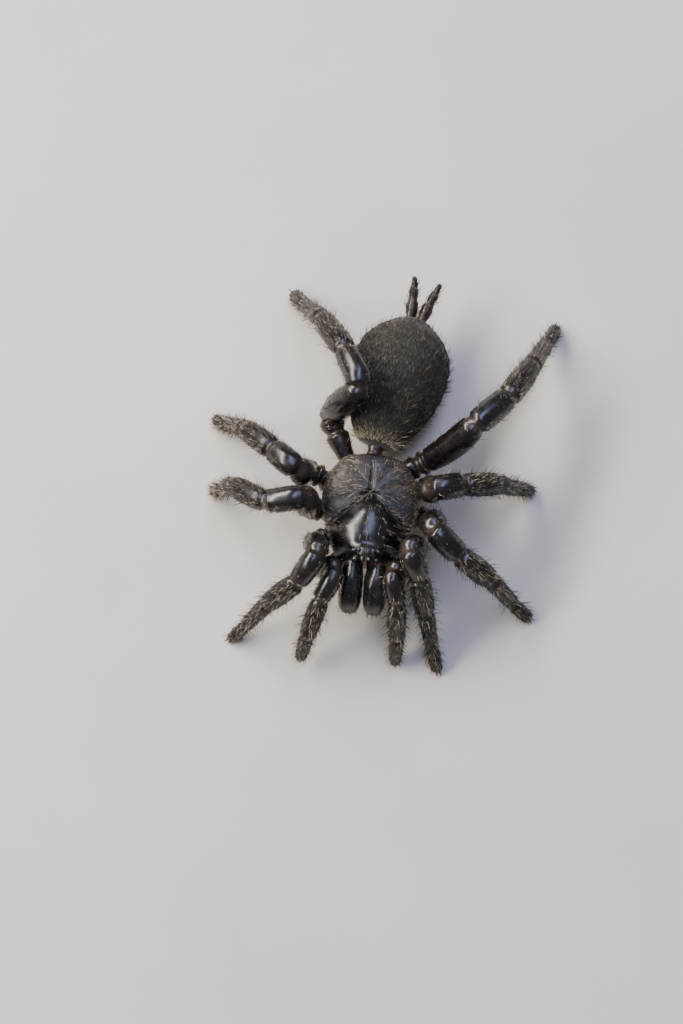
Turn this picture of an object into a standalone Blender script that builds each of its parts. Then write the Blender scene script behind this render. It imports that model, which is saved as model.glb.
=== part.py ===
"""A funnel-web spider, an adult female, life size, standing still on eight feet.

Lengths are in millimetres until add_solid turns them into metres. The head points to -Y, the
spider's left is +X, up is +Z, and the feet stand on z = 0. A place along the body is given as
(x, ahead, z), where ahead is counted forward from the pit in the middle of the carapace.
"""

import math

import bpy
import numpy as np

MM = 0.001

# Where the pit of the carapace stands, so that the origin is below the middle of the whole spider
PIT_X = -0.47
PIT_Y = -2.62

# Carapace: the shield over the front half of the body
CARAPACE_REAR = -3.4
CARAPACE_FRONT = 5.6
MARGIN_Z = 4.45
RIM_DEPTH = 0.38
THORAX_HEIGHT = 1.1
CAPUT_HEIGHT = 1.4
EYE_MOUND_AHEAD = 4.95
EYE_MOUND_HEIGHT = 0.45
CARAPACE_RINGS = 37
CARAPACE_TOP_POINTS = 25

# Stalk and core that carry the shield, the legs and the abdomen
CORE_BOTTOM_Z = 2.4
CORE_HALF_WIDTH = 1.15
STALK_RADIUS = 0.6
STALK_Z = 3.72

# Sternum: the plate under the core, with the small lip plate in front
STERNUM_TOP_Z = 2.2
STERNUM_BOTTOM_Z = 1.65

# Abdomen, turned towards the spider's left
ABDOMEN_START = (0.1, -4.1, 3.7)
ABDOMEN_TURN = math.radians(12)
ABDOMEN_LENGTH = 10.7
ABDOMEN_HALF_WIDTH = 3.9
ABDOMEN_HALF_HEIGHT = 3.3
ABDOMEN_MIDDLE_Z = 3.85
ABDOMEN_RINGS = 19
ABDOMEN_SIDES = 20

# Jaws and fangs
FANG_ROOT_RADIUS = 0.42
FANG_TIP_RADIUS = 0.1

# Legs: lengths of femur, patella, tibia, metatarsus and tarsus, and a thickness factor
LEG_LENGTHS = {
    1: (5.8, 3.3, 3.5, 3.4, 2.2),
    2: (5.1, 3.3, 3.6, 3.5, 2.3),
    3: (4.6, 3.1, 3.3, 3.4, 2.3),
    4: (6.0, 3.7, 4.3, 4.3, 2.5),
}
LEG_THICKNESS = {1: 0.9, 2: 0.98, 3: 1.01, 4: 1.06}
PALP_LENGTHS = (4.6, 3.3, 3.5, 2.9)
PALP_THICKNESS = 0.79

# Pose of each leg. Headings are degrees from straight ahead towards the spider's left, for femur,
# patella, tibia and foot. Slopes are degrees above the horizontal, for femur, patella and tibia.
# The root and the end of the trochanter are places of the carapace's frame.
LEG_POSES = {
    "R1": ((-1.6, 2.4, 2.75), (-3.7, 3.35, 3.2), (6, -35, -57, -50), (69, -37, -42)),
    "R2": ((-1.75, 1.0, 2.75), (-4.3, 1.05, 3.2), (-70, -81, -118, -114), (84, -17, -30)),
    "R3": ((-1.75, -0.55, 2.75), (-4.5, -1.8, 3.2), (-48, -131, -128, -124), (71, -23, -29)),
    "R4": ((-1.5, -2.2, 2.75), (-3.65, -6.2, 3.45), (118, -152, -146, -143), (63, -18, -33)),
    "L1": ((1.6, 2.4, 2.75), (3.75, 3.45, 3.2), (-35, 32, 20, 20), (77, -48, -50)),
    "L2": ((1.75, 1.0, 2.75), (4.5, 0.95, 3.2), (8, 56, 64, 60), (69, -31, -35)),
    "L3": ((1.75, -0.55, 2.75), (4.5, -1.4, 3.2), (-15, 108, 104, 107), (75, -22, -31)),
    "L4": ((1.5, -2.0, 2.75), (4.1, -3.5, 3.3), (122, 138, 152, 157), (49, -17, -31)),
}
PALP_POSES = {
    "R": ((-1.05, 3.5, 2.5), (-3.1, 5.85, 2.9), (84, -26, -18, -15), (74, -26, -42, -60)),
    "L": ((1.05, 3.5, 2.5), (3.1, 5.75, 2.9), (-94, 18, 6, 3), (74, -35, -50, -55)),
}

# Half width, and depth to the back and to the belly, along a leg. A station's whole part counts
# the joints from the root (1 trochanter, 2 knee, 3 end of the patella, 4 end of the tibia,
# 5 end of the metatarsus, 6 tip).
LEG_STATIONS = (0, 0.35, 0.68, 0.8, 0.92, 1, 1.15, 1.3, 1.55, 1.85, 2, 2.15, 2.5, 2.85, 3,
                3.15, 3.5, 3.85, 4, 4.15, 4.5, 5, 5.5, 5.85, 6)
LEG_WIDTHS = (0.52, 0.68, 0.9, 0.84, 0.98, 0.94, 1.0, 1.07, 1.12, 1.04, 0.94, 1.0, 1.04, 0.96,
              0.86, 0.9, 0.92, 0.84, 0.74, 0.72, 0.64, 0.55, 0.51, 0.44, 0.34)
LEG_BACKS = (0.62, 0.84, 0.92, 0.84, 0.84, 0.6, 0.74, 0.98, 1.15, 1.04, 0.9, 1.0, 1.04, 0.93,
             0.8, 0.9, 0.92, 0.82, 0.72, 0.7, 0.62, 0.53, 0.5, 0.44, 0.34)
LEG_BELLIES = (0.62, 0.8, 0.84, 0.76, 0.78, 0.74, 0.95, 1.05, 0.98, 0.54, 0.4, 0.48, 0.8, 0.82,
               0.6, 0.82, 0.88, 0.8, 0.55, 0.66, 0.62, 0.5, 0.5, 0.44, 0.34)
FEMUR_BOW = 0.3
KNEE_BEND_RADIUS = 1.1
JOINT_BEND_RADIUS = 0.85
GAP = 0.3
EDGE_ROUNDING = 0.12
LEG_SIDES = 12

# Eyes: place on the eye mound as (side, ahead), then half width, half length and height
EYES = {
    "eye_front_middle": (0.24, 5.32, 0.16, 0.16, 0.13),
    "eye_front_side": (0.82, 5.28, 0.3, 0.24, 0.2),
    "eye_rear_side": (0.92, 4.68, 0.22, 0.17, 0.14),
    "eye_rear_middle": (0.54, 4.68, 0.13, 0.16, 0.1),
}
EYE_GAP = 0.1
EYE_SIDES = 10

# Spinnerets: base on the abdomen's end as (side, z), the tip's side and z, length, radius
SPINNERETS = {
    "spinneret_long": (0.5, 3.85, 1.05, 4.2, 2.9, 0.38),
    "spinneret_short": (0.25, 2.98, 0.32, 2.9, 0.9, 0.17),
}

BLACK_SHELL = ((0.012, 0.010, 0.010, 1), 0.16, 0.0)
BROWN_SHELL = ((0.035, 0.016, 0.011, 1), 0.3, 0.0)
VELVET = ((0.022, 0.016, 0.017, 1), 0.75, 0.0)
EYE_BLACK = ((0.006, 0.005, 0.006, 1), 0.05, 0.0)
FANG_RED_BLACK = ((0.02, 0.006, 0.004, 1), 0.12, 0.0)


def clear_scene():
    for thing in list(bpy.data.objects):
        bpy.data.objects.remove(thing, do_unlink=True)


def material(name, look):
    colour, roughness, metallic = look
    made = bpy.data.materials.new(name)
    made.use_nodes = True
    shader = made.node_tree.nodes["Principled BSDF"]
    shader.inputs["Base Color"].default_value = colour
    shader.inputs["Roughness"].default_value = roughness
    shader.inputs["Metallic"].default_value = metallic
    return made


def through(stations, values, at):
    """A smooth curve through the values at the stations, read at the places asked for."""
    stations = np.asarray(stations, float)
    values = np.asarray(values, float)
    at = np.atleast_1d(np.asarray(at, float))
    slopes = np.gradient(values, stations, axis=0)
    first = np.clip(np.searchsorted(stations, at, side="right") - 1, 0, len(stations) - 2)
    span = stations[first + 1] - stations[first]
    t = np.clip((at - stations[first]) / span, 0, 1)
    if values.ndim > 1:
        t, span = t[:, None], span[:, None]
    blend = t * t * (3 - 2 * t)
    start = values[first] * (1 - blend) + values[first + 1] * blend
    leave = (t ** 3 - 2 * t ** 2 + t) * span * slopes[first]
    arrive = (t ** 3 - t ** 2) * span * slopes[first + 1]
    return start + leave + arrive


def row_place(points):
    """Turns (x, ahead, z) places into the part's own X, Y and Z."""
    points = np.asarray(points, float)
    return np.stack([points[..., 0] + PIT_X, PIT_Y - points[..., 1], points[..., 2]], axis=-1)


def mesh_of(name, rings):
    """One closed mesh: a loft through the rings, with a flat face on each end, facing out."""
    rings = row_place(rings)
    count, sides = rings.shape[:2]
    points = rings.reshape(-1, 3)
    faces = []
    for ring in range(count - 1):
        for side in range(sides):
            after = (side + 1) % sides
            here, above = ring * sides, (ring + 1) * sides
            faces.append((here + side, here + after, above + after, above + side))
    faces.append(tuple(reversed(range(sides))))
    faces.append(tuple(range((count - 1) * sides, count * sides)))
    middle = points.mean(axis=0)
    volume = 0.0
    for face in faces:
        corners = points[list(face)] - middle
        for k in range(1, len(face) - 1):
            volume += np.dot(corners[0], np.cross(corners[k], corners[k + 1]))
    if volume < 0:
        faces = [tuple(reversed(face)) for face in faces]
    mesh = bpy.data.meshes.new(name)
    mesh.from_pydata((points * MM).tolist(), [], faces)
    mesh.update()
    return mesh


def add_solid(name, mesh, look):
    solid = bpy.data.objects.new(name, mesh)
    bpy.context.scene.collection.objects.link(solid)
    mesh.materials.append(material(name, look))
    mesh.shade_smooth()
    mesh.set_sharp_from_angle(angle=math.radians(50))
    return solid


def join_solids(name, meshes, look):
    """One closed body from several that overlap."""
    base = add_solid(name, meshes[0], look)
    pieces = bpy.data.collections.new(name + "_pieces")
    bpy.context.scene.collection.children.link(pieces)
    for mesh in meshes[1:]:
        pieces.objects.link(bpy.data.objects.new(mesh.name + "_piece", mesh))
    union = base.modifiers.new("union", "BOOLEAN")
    union.operation = "UNION"
    union.solver = "EXACT"
    union.operand_type = "COLLECTION"
    union.collection = pieces
    bpy.context.view_layer.update()
    graph = bpy.context.evaluated_depsgraph_get()
    joined = bpy.data.meshes.new_from_object(base.evaluated_get(graph))
    base.modifiers.remove(union)
    base.data = joined
    joined.shade_smooth()
    joined.set_sharp_from_angle(angle=math.radians(50))
    for piece in list(pieces.objects):
        bpy.data.objects.remove(piece, do_unlink=True)
    bpy.data.collections.remove(pieces)
    return base


def carapace_half_width(ahead):
    return through(
        (-3.4, -3.05, -2.4, -1.4, -0.4, 0.6, 1.8, 3.0, 4.2, 5.1, 5.6),
        (1.5, 2.15, 2.8, 3.38, 3.68, 3.7, 3.45, 3.05, 2.6, 2.2, 1.7), ahead)


def caput_half_width(ahead):
    """The cephalic grooves spread from the pit to the margin as the caput widens."""
    return np.minimum(0.25 + 1.1 * np.maximum(ahead, 0), 1.03 * carapace_half_width(ahead))


def carapace_height(x, ahead):
    """Height of the shield's top above its margin."""
    across = np.clip(np.abs(x) / carapace_half_width(ahead), 0, 1)
    thorax = through((-3.4, -2.7, -1.6, 0, 2, 4, 5.6), (0.45, 0.8, 1.02, 1.1, 1.0, 0.85, 0.5), ahead)
    height = thorax / 1.1 * THORAX_HEIGHT * (1 - across ** 2) ** 0.6
    caput = through((-3.4, -0.2, 0.3, 1.0, 2.0, 3.0, 4.0, 5.0, 5.6),
                    (0, 0, 0.12, 0.56, 0.88, 1.0, 0.98, 0.84, 0.58), ahead)
    inside = np.clip(np.abs(x) / caput_half_width(ahead), 0, 1)
    corner = np.clip((ahead + np.abs(x) - 5.5) / 1.4, 0, 1)
    caput = caput * (1 - 0.5 * corner ** 2 * (3 - 2 * corner))
    height = height + CAPUT_HEIGHT * caput * (1 - inside ** 2) ** 0.85
    window = np.clip((ahead + 0.1) / 0.6, 0, 1) * np.clip((4.3 - ahead) / 1.2, 0, 1)
    height = height - 0.16 * window * np.exp(-((np.abs(x) - caput_half_width(ahead)) / 0.25) ** 2)
    pit = np.exp(-((ahead + 0.15 - 0.45 * x ** 2) / 0.28) ** 2 - (x / 0.75) ** 4)
    height = height - 0.34 * pit
    reach = np.hypot(x, ahead + 0.2)
    turn = np.arctan2(np.abs(x), -(ahead + 0.2))
    fade = np.clip((reach - 0.7) / 0.8, 0, 1) * np.clip((1 - across) / 0.3, 0, 1)
    for furrow in (0.62, 1.25, 1.85):
        height = height - 0.1 * fade * np.exp(-((turn - furrow) / 0.16) ** 2)
    mound = np.exp(-((x / 1.12) ** 2 + ((ahead - EYE_MOUND_AHEAD) / 0.68) ** 2) ** 2)
    return height + EYE_MOUND_HEIGHT * mound


def carapace_top(x, ahead):
    """The place on the shield above (x, ahead)."""
    return np.array([x, ahead, MARGIN_Z + carapace_height(np.array([x]), np.array([ahead]))[0]])


def build_carapace():
    ahead = np.linspace(CARAPACE_REAR, CARAPACE_FRONT, CARAPACE_RINGS)
    angle = np.linspace(0, math.pi, CARAPACE_TOP_POINTS)
    half = carapace_half_width(ahead)[:, None]
    top_x = half * np.cos(angle)[None, :]
    top_ahead = np.repeat(ahead[:, None], len(angle), axis=1)
    top_z = MARGIN_Z + carapace_height(top_x.ravel(), top_ahead.ravel()).reshape(top_x.shape)
    under = np.linspace(-1, 1, 7)
    low_x = half * 0.97 * under[None, :]
    low_z = MARGIN_Z - RIM_DEPTH + 0.12 * (1 - under[None, :] ** 2) * np.ones_like(half)
    low_ahead = np.repeat(ahead[:, None], len(under), axis=1)
    rings = np.concatenate([np.stack([top_x, top_ahead, top_z], axis=-1),
                            np.stack([low_x, low_ahead, low_z], axis=-1)], axis=1)
    shield = mesh_of("shield", rings)
    core = mesh_of("core", core_rings())
    stalk = mesh_of("stalk", tube_rings(
        np.array([(0, -2.2, 3.5), (0, -2.98, STALK_Z), (0.03, -3.62, STALK_Z)]),
        np.full(3, STALK_RADIUS), np.full(3, 0.5), np.full(3, 0.5), np.array((1.0, 0, 0)), 10))
    join_solids("carapace", [shield, core, stalk], BLACK_SHELL)


def core_rings():
    """The trunk between the coxae, from the sternum up into the shield."""
    angle = np.linspace(0, 2 * math.pi, 14, endpoint=False)
    levels = (CORE_BOTTOM_Z, CORE_BOTTOM_Z + 0.25, 3.4, MARGIN_Z - 0.05)
    grow = (0.8, 0.95, 1.0, 1.05)
    rings = []
    for z, factor in zip(levels, grow):
        rings.append(np.stack([CORE_HALF_WIDTH * factor * np.cos(angle),
                               0.45 + 2.6 * factor * np.sin(angle), np.full(14, z)], axis=-1))
    return np.array(rings)


def build_sternum():
    ahead = (-2.0, -1.75, -1.2, -0.4, 0.6, 1.5, 2.05, 2.3, 2.5, 2.75, 3.05, 3.2)
    half = (0.35, 0.75, 1.1, 1.32, 1.38, 1.2, 0.9, 0.62, 0.55, 0.6, 0.5, 0.35)
    angle = np.linspace(0, 2 * math.pi, 12, endpoint=False)
    middle = (STERNUM_TOP_Z + STERNUM_BOTTOM_Z) / 2
    deep = (STERNUM_TOP_Z - STERNUM_BOTTOM_Z) / 2
    rings = [np.stack([w * np.cos(angle), np.full(12, a),
                       middle + deep * min(1, 0.6 + 0.4 * w) * np.sin(angle)], axis=-1)
             for a, w in zip(ahead, half)]
    add_solid("sternum", mesh_of("sternum", np.array(rings)), BROWN_SHELL)


def abdomen_frame(along):
    """Places on the abdomen's axis at these distances from its start, with its side vector."""
    along = np.asarray(along, float)
    x = ABDOMEN_START[0] + math.sin(ABDOMEN_TURN) * along
    ahead = ABDOMEN_START[1] - math.cos(ABDOMEN_TURN) * along
    share = along / ABDOMEN_LENGTH
    z = through((0, 0.3, 0.6, 1.0, 1.4), (ABDOMEN_START[2], ABDOMEN_MIDDLE_Z, ABDOMEN_MIDDLE_Z,
                                          3.6, 3.6), share)
    side = np.array((math.cos(ABDOMEN_TURN), math.sin(ABDOMEN_TURN), 0))
    return np.stack([x, ahead, z.reshape(x.shape)], axis=-1), side


def abdomen_size(share):
    """Half width and half height at this share of the length."""
    shape = through((0, 0.05, 0.14, 0.28, 0.45, 0.62, 0.78, 0.9, 0.97, 1.0),
                    (0.28, 0.43, 0.6, 0.79, 0.95, 1.0, 0.9, 0.64, 0.38, 0.24), share)
    return ABDOMEN_HALF_WIDTH * shape, ABDOMEN_HALF_HEIGHT * shape


def build_abdomen():
    share = 0.5 - 0.5 * np.cos(np.linspace(0, math.pi, ABDOMEN_RINGS))
    axis, side = abdomen_frame(share * ABDOMEN_LENGTH)
    wide, high = abdomen_size(share)
    angle = np.linspace(0, 2 * math.pi, ABDOMEN_SIDES, endpoint=False)
    furrow = 1 - 0.05 * np.exp(-((share[:, None] - 0.36) / 0.05) ** 2) * (np.sin(angle) < -0.3)
    rings = (axis[:, None, :]
             + (wide[:, None] * np.cos(angle) * furrow)[..., None] * side
             + (high[:, None] * np.sin(angle) * furrow)[..., None] * np.array((0, 0, 1.0)))
    add_solid("abdomen", mesh_of("abdomen", rings), VELVET)


def tube_rings(path, wide, back, belly, side, sides, tangent=None):
    """Rings across a path, each with its half width and its depth to the back and the belly."""
    if tangent is None:
        tangent = np.gradient(path, axis=0)
    tangent = tangent / np.linalg.norm(tangent, axis=1)[:, None]
    across = side[None, :] - (tangent @ side)[:, None] * tangent
    across /= np.linalg.norm(across, axis=1)[:, None]
    above = np.cross(tangent, across)
    angle = np.linspace(0, 2 * math.pi, sides, endpoint=False)
    rise = np.sin(angle)
    depth = np.where(rise > 0, back[:, None], belly[:, None])
    return (path[:, None, :] + (wide[:, None] * np.cos(angle))[..., None] * across[:, None, :]
            + (depth * rise)[..., None] * above[:, None, :])


def direction(heading, slope):
    heading, slope = math.radians(heading), math.radians(slope)
    return np.array((math.sin(heading) * math.cos(slope),
                     math.cos(heading) * math.cos(slope), math.sin(slope)))


def leg_joints(name):
    """The joints of a leg from root to tip, with the tip on the floor."""
    root, hip, headings, slopes = LEG_POSES[name]
    lengths = LEG_LENGTHS[int(name[1])]
    joints = [np.array(root, float), np.array(hip, float)]
    for heading, slope, length in zip(headings, slopes, lengths):
        joints.append(joints[-1] + length * direction(heading, slope))
    ground = math.degrees(math.asin(joints[-1][2] / (lengths[3] + lengths[4])))
    joints.append(joints[-1] + lengths[3] * direction(headings[3], -ground - 4))
    left = math.degrees(math.asin(joints[-1][2] / lengths[4]))
    joints.append(joints[-1] + lengths[4] * direction(headings[3], -left))
    return joints


def palp_joints(name):
    """The joints of a palp, which has no metatarsus and is held just off the floor."""
    root, hip, headings, slopes = PALP_POSES[name]
    joints = [np.array(root, float), np.array(hip, float)]
    for heading, slope, length in zip(headings, slopes, PALP_LENGTHS):
        joints.append(joints[-1] + length * direction(heading, slope))
    return joints


def rounded_path(joints, step=0.05):
    """Points along the limb with each joint rounded, and the joint count at each point."""
    points, counts = [], []
    start, start_count = joints[0], 0.0
    last = len(joints) - 1
    for k in range(1, last):
        before, after = joints[k] - joints[k - 1], joints[k + 1] - joints[k]
        first_length, second_length = np.linalg.norm(before), np.linalg.norm(after)
        before, after = before / first_length, after / second_length
        turn = math.acos(np.clip(before @ after, -1, 1))
        radius = KNEE_BEND_RADIUS if k == 2 else JOINT_BEND_RADIUS
        reach = min(radius * math.tan(turn / 2), 0.55 * first_length, 0.55 * second_length)
        radius = reach / math.tan(turn / 2)
        enter = joints[k] - reach * before
        steps = max(2, int(np.linalg.norm(enter - start) / step))
        share = np.linspace(0, 1, steps, endpoint=False)
        points.append(start + share[:, None] * (enter - start))
        counts.append(start_count + share * (k - reach / first_length - start_count))
        inward = after - before * math.cos(turn)
        inward /= np.linalg.norm(inward)
        centre = enter + radius * inward
        bend = np.linspace(0, turn, max(4, int(radius * turn / step)), endpoint=False)
        points.append(centre + radius * (np.sin(bend)[:, None] * before
                                         - np.cos(bend)[:, None] * inward))
        half = np.clip(bend / turn, 0, 1)
        counts.append(np.where(half < 0.5, k - (1 - 2 * half) * reach / first_length,
                               k + (2 * half - 1) * reach / second_length))
        start, start_count = joints[k] + reach * after, k + reach / second_length
    steps = int(np.linalg.norm(joints[last] - start) / step)
    share = np.linspace(0, 1, steps)
    points.append(start + share[:, None] * (joints[last] - start))
    counts.append(start_count + share * (last - start_count))
    return np.concatenate(points), np.concatenate(counts)


def bowed(path, counts):
    """The femur bulges away from the body's middle."""
    bow = FEMUR_BOW * np.sin(math.pi * np.clip(counts - 1, 0, 1)) * np.sign(path[0, 0])
    return path + bow[:, None] * np.array((1.0, 0, 0))


def limb_side(joints):
    """The side vector: level, and square to the way the limb reaches out."""
    reach = joints[3] - joints[1]
    side = np.cross((0, 0, 1.0), reach)
    return side / np.linalg.norm(side)


def limb_piece(name, path, counts, span, thickness, side, rings, look, profile, on_floor=False):
    """The solid between two joint counts, with its ends drawn in a little."""
    length = np.concatenate([[0], np.cumsum(np.linalg.norm(np.diff(path, axis=0), axis=1))])
    start = np.interp(span[0], counts, length) + (GAP / 2 if span[0] > 0 else 0)
    end = np.interp(span[1], counts, length) - (0 if on_floor else GAP / 2)
    inner = np.linspace(start + EDGE_ROUNDING, end - EDGE_ROUNDING, rings - 2)
    along = np.concatenate([[start], inner, [end]])
    centre = np.stack([np.interp(along, length, path[:, axis]) for axis in range(3)], axis=1)
    slope = np.gradient(path, axis=0)
    tangent = np.stack([np.interp(along, length, slope[:, axis]) for axis in range(3)], axis=1)
    at = np.interp(along, length, counts)
    sizes = [thickness * through(profile[0], values, at) for values in profile[1:]]
    for size in sizes:
        size[0] -= 0.9 * EDGE_ROUNDING
        size[-1] -= 0.9 * EDGE_ROUNDING * (not on_floor)
    shape = tube_rings(centre, *sizes, side, LEG_SIDES, tangent)
    if on_floor:
        shape[-1, :, :2] = centre[-1, :2] + 0.75 * (shape[-1, :, :2] - centre[-1, :2])
        shape[-1, :, 2] = 0
        shape[:-1, :, 2] = np.maximum(shape[:-1, :, 2], 0.12)
    add_solid(name, mesh_of(name, shape), look)


def build_leg(name):
    joints = leg_joints(name)
    path, counts = rounded_path(joints)
    path = bowed(path, counts)
    side = limb_side(joints)
    thickness = LEG_THICKNESS[int(name[1])]
    profile = (LEG_STATIONS, LEG_WIDTHS, LEG_BACKS, LEG_BELLIES)
    pieces = (("coxa", (0, 1), 8, BROWN_SHELL), ("femur", (1, 2), 9, BLACK_SHELL),
              ("patella_tibia", (2, 4), 13, BLACK_SHELL))
    for piece, span, rings, look in pieces:
        limb_piece(f"leg_{name}_{piece}", path, counts, span, thickness, side, rings, look, profile)
    limb_piece(f"leg_{name}_foot", path, counts, (4, 6), thickness, side, 12, BLACK_SHELL,
               profile, on_floor=True)


def build_palp(name):
    joints = palp_joints(name)
    path, counts = rounded_path(joints)
    path = bowed(path, counts)
    side = limb_side(joints)
    shared = LEG_STATIONS.index(4) + 1
    tip = (0.7, 0.66, 0.5, 0.3)
    profile = [LEG_STATIONS[:shared] + (4.15, 4.5, 4.85, 5)]
    profile += [sizes[:shared] + tip for sizes in (LEG_WIDTHS, LEG_BACKS, LEG_BELLIES)]
    pieces = (("coxa", (0, 1), 8, BROWN_SHELL), ("femur", (1, 2), 8, BLACK_SHELL),
              ("patella_tibia", (2, 4), 12, BLACK_SHELL), ("tarsus", (4, 5), 8, BLACK_SHELL))
    for piece, span, rings, look in pieces:
        limb_piece(f"palp_{name}_{piece}", path, counts, span, PALP_THICKNESS, side, rings, look,
                   profile)


def build_jaws():
    """Two stout jaws that bulge forward and up, each with a fang folded back below it."""
    for name, hand in (("R", -1), ("L", 1)):
        station = (0, 0.15, 0.5, 0.85, 1.0)
        spine = np.array([(0.95, 5.82, 4.95), (0.95, 6.25, 4.98), (0.95, 7.3, 4.95),
                          (0.93, 8.35, 4.2), (0.92, 8.6, 3.4)]) * (hand, 1, 1)
        share = np.linspace(0, 1, 12)
        wide = through(station, (0.72, 0.8, 0.82, 0.7, 0.5), share)
        deep = through(station, (1.1, 1.3, 1.3, 0.86, 0.5), share)
        path = through(station, spine, share)
        rings = tube_rings(path, wide, deep, deep, np.array((1.0, 0, 0)), 14)
        add_solid(f"chelicera_{name}", mesh_of("chelicera", rings), BLACK_SHELL)
        spine = np.array([(0.92, 8.7, 2.8), (0.9, 8.3, 2.5), (0.84, 7.3, 2.7),
                          (0.76, 6.3, 2.9), (0.66, 5.55, 2.85)]) * (hand, 1, 1)
        share = np.linspace(0, 1, 10)
        radius = through((0, 0.2, 1.0), (FANG_ROOT_RADIUS, 0.38, FANG_TIP_RADIUS), share)
        path = through((0, 0.15, 0.45, 0.75, 1.0), spine, share)
        rings = tube_rings(path, radius, radius * 0.85, radius * 0.85, np.array((1.0, 0, 0)), 10)
        add_solid(f"fang_{name}", mesh_of("fang", rings), FANG_RED_BLACK)


def build_eyes():
    """Eight low domes on the eye mound, each square to the surface below it."""
    for name, (x, ahead, wide, long, high) in EYES.items():
        for side, hand in (("R", -1), ("L", 1)):
            place = carapace_top(hand * x, ahead)
            tiny = 0.15
            across = carapace_top(hand * x + tiny, ahead) - carapace_top(hand * x - tiny, ahead)
            forward = carapace_top(hand * x, ahead + tiny) - carapace_top(hand * x, ahead - tiny)
            across /= np.linalg.norm(across)
            out = np.cross(across, forward)
            out /= np.linalg.norm(out)
            forward = np.cross(out, across)
            angle = np.linspace(0, 2 * math.pi, EYE_SIDES, endpoint=False)
            rings = []
            for rise in np.radians((0, 25, 50, 75)):
                flat = (wide * np.cos(angle)[:, None] * across
                        + long * np.sin(angle)[:, None] * forward) * math.cos(rise)
                rings.append(place + (EYE_GAP + high * math.sin(rise)) * out + flat)
            add_solid(f"{name}_{side}", mesh_of(name, np.array(rings)), EYE_BLACK)


def build_spinnerets():
    for name, (side_from, z_from, side_to, z_to, length, radius) in SPINNERETS.items():
        for hand_name, hand in (("R", -1), ("L", 1)):
            share = np.linspace(0, 1, 9)
            along = ABDOMEN_LENGTH + GAP + length * share
            axis, side = abdomen_frame(along)
            path = axis + (hand * (side_from + (side_to - side_from) * share ** 1.3))[:, None] * side
            path[:, 2] = z_from + (z_to - z_from) * share ** 1.5
            size = radius * through((0, 0.34, 0.38, 0.66, 0.7, 1.0), (1, 0.98, 0.86, 0.84, 0.72, 0.4),
                                    share)
            rings = tube_rings(path, size, size, size, side, 10)
            add_solid(f"{name}_{hand_name}", mesh_of(name, rings), BROWN_SHELL)


def main():
    clear_scene()
    build_carapace()
    build_sternum()
    build_abdomen()
    build_jaws()
    build_eyes()
    build_spinnerets()
    for name in LEG_POSES:
        build_leg(name)
    for name in PALP_POSES:
        build_palp(name)


main()
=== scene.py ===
"""The looks of a life-size still model of a female funnel-web spider, laid out as an add-on.

Run as a script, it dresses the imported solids: one shell or skin for each part of the body, the
joints' soft folds, eyes, fangs, claws and a coat of solid bristles, then floor, lights and camera.
Shape functions work in millimetres, on places given as (x, ahead, z): x to the spider's left,
ahead towards the head from the pit of the carapace, z above the floor.
"""

import math

import bpy
import numpy as np
from bpy.props import FloatProperty, FloatVectorProperty, PointerProperty
from mathutils import Matrix, Vector


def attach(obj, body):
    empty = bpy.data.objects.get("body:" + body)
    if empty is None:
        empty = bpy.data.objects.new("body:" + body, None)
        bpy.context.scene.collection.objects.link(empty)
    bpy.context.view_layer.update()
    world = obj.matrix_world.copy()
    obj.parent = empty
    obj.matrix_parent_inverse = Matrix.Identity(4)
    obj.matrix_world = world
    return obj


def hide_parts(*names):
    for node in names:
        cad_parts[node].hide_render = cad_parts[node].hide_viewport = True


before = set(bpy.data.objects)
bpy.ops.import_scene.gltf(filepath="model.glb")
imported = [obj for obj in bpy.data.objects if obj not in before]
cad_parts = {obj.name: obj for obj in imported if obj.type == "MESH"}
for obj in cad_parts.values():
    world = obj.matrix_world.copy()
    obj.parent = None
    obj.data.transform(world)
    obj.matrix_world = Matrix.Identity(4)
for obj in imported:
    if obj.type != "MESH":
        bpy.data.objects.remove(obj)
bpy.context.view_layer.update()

bl_info = {
    "name": "Funnel-web spider model",
    "version": (1, 0, 0),
    "blender": (4, 5, 0),
    "location": "View3D > Sidebar > Spider",
    "description": "Builds the shells, coat and stage of a life-size funnel-web spider model",
    "category": "Object",
}

MM = 0.001
UP = np.array((0.0, 0.0, 1.0))
LEFT = np.array((1.0, 0.0, 0.0))
SIDES = (("R", -1), ("L", 1))

# Where the pit of the carapace stands on the floor plan, as in the solids
PIT = (-0.47, -2.62)

# Carapace, with its grooves, pit and furrows, the eye mound's place, height and slant, the saddle
# behind it, and the trunk below
CARAPACE_REAR = -3.4
CARAPACE_FRONT = 5.6
MARGIN_Z = 4.45
CAPUT_HEIGHT = 1.4
GROOVE_DEPTH = 0.16
PIT_DEPTH = 0.36
FURROW_DEPTH = 0.07
EYE_MOUND_AHEAD = 4.95
EYE_MOUND_HEIGHT = 0.45
EYE_MOUND_TILT = 0.3
SADDLE_DEPTH = 0.1
RIM_DEPTH = 0.38
CORE_HALF_WIDTH = 1.15
CORE_BOTTOM_Z = 2.4
WAIST_SPINE = ((0, -1.9, 3.5), (0, -2.98, 3.72), (0.04, -3.8, 3.74), (0.2, -4.75, 3.8))

# Breast plate with the lip plate in front, and its sunken spots as (side, ahead)
STERNUM_REAR = -2.0
STERNUM_FRONT = 3.2
STERNUM_Z = 1.99
STERNUM_HALF_HEIGHT = 0.3
STERNUM_SPOTS = ((0.95, 1.35), (1.0, 0.35), (0.6, -0.75))
SPOT_DEPTH = 0.05

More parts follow.
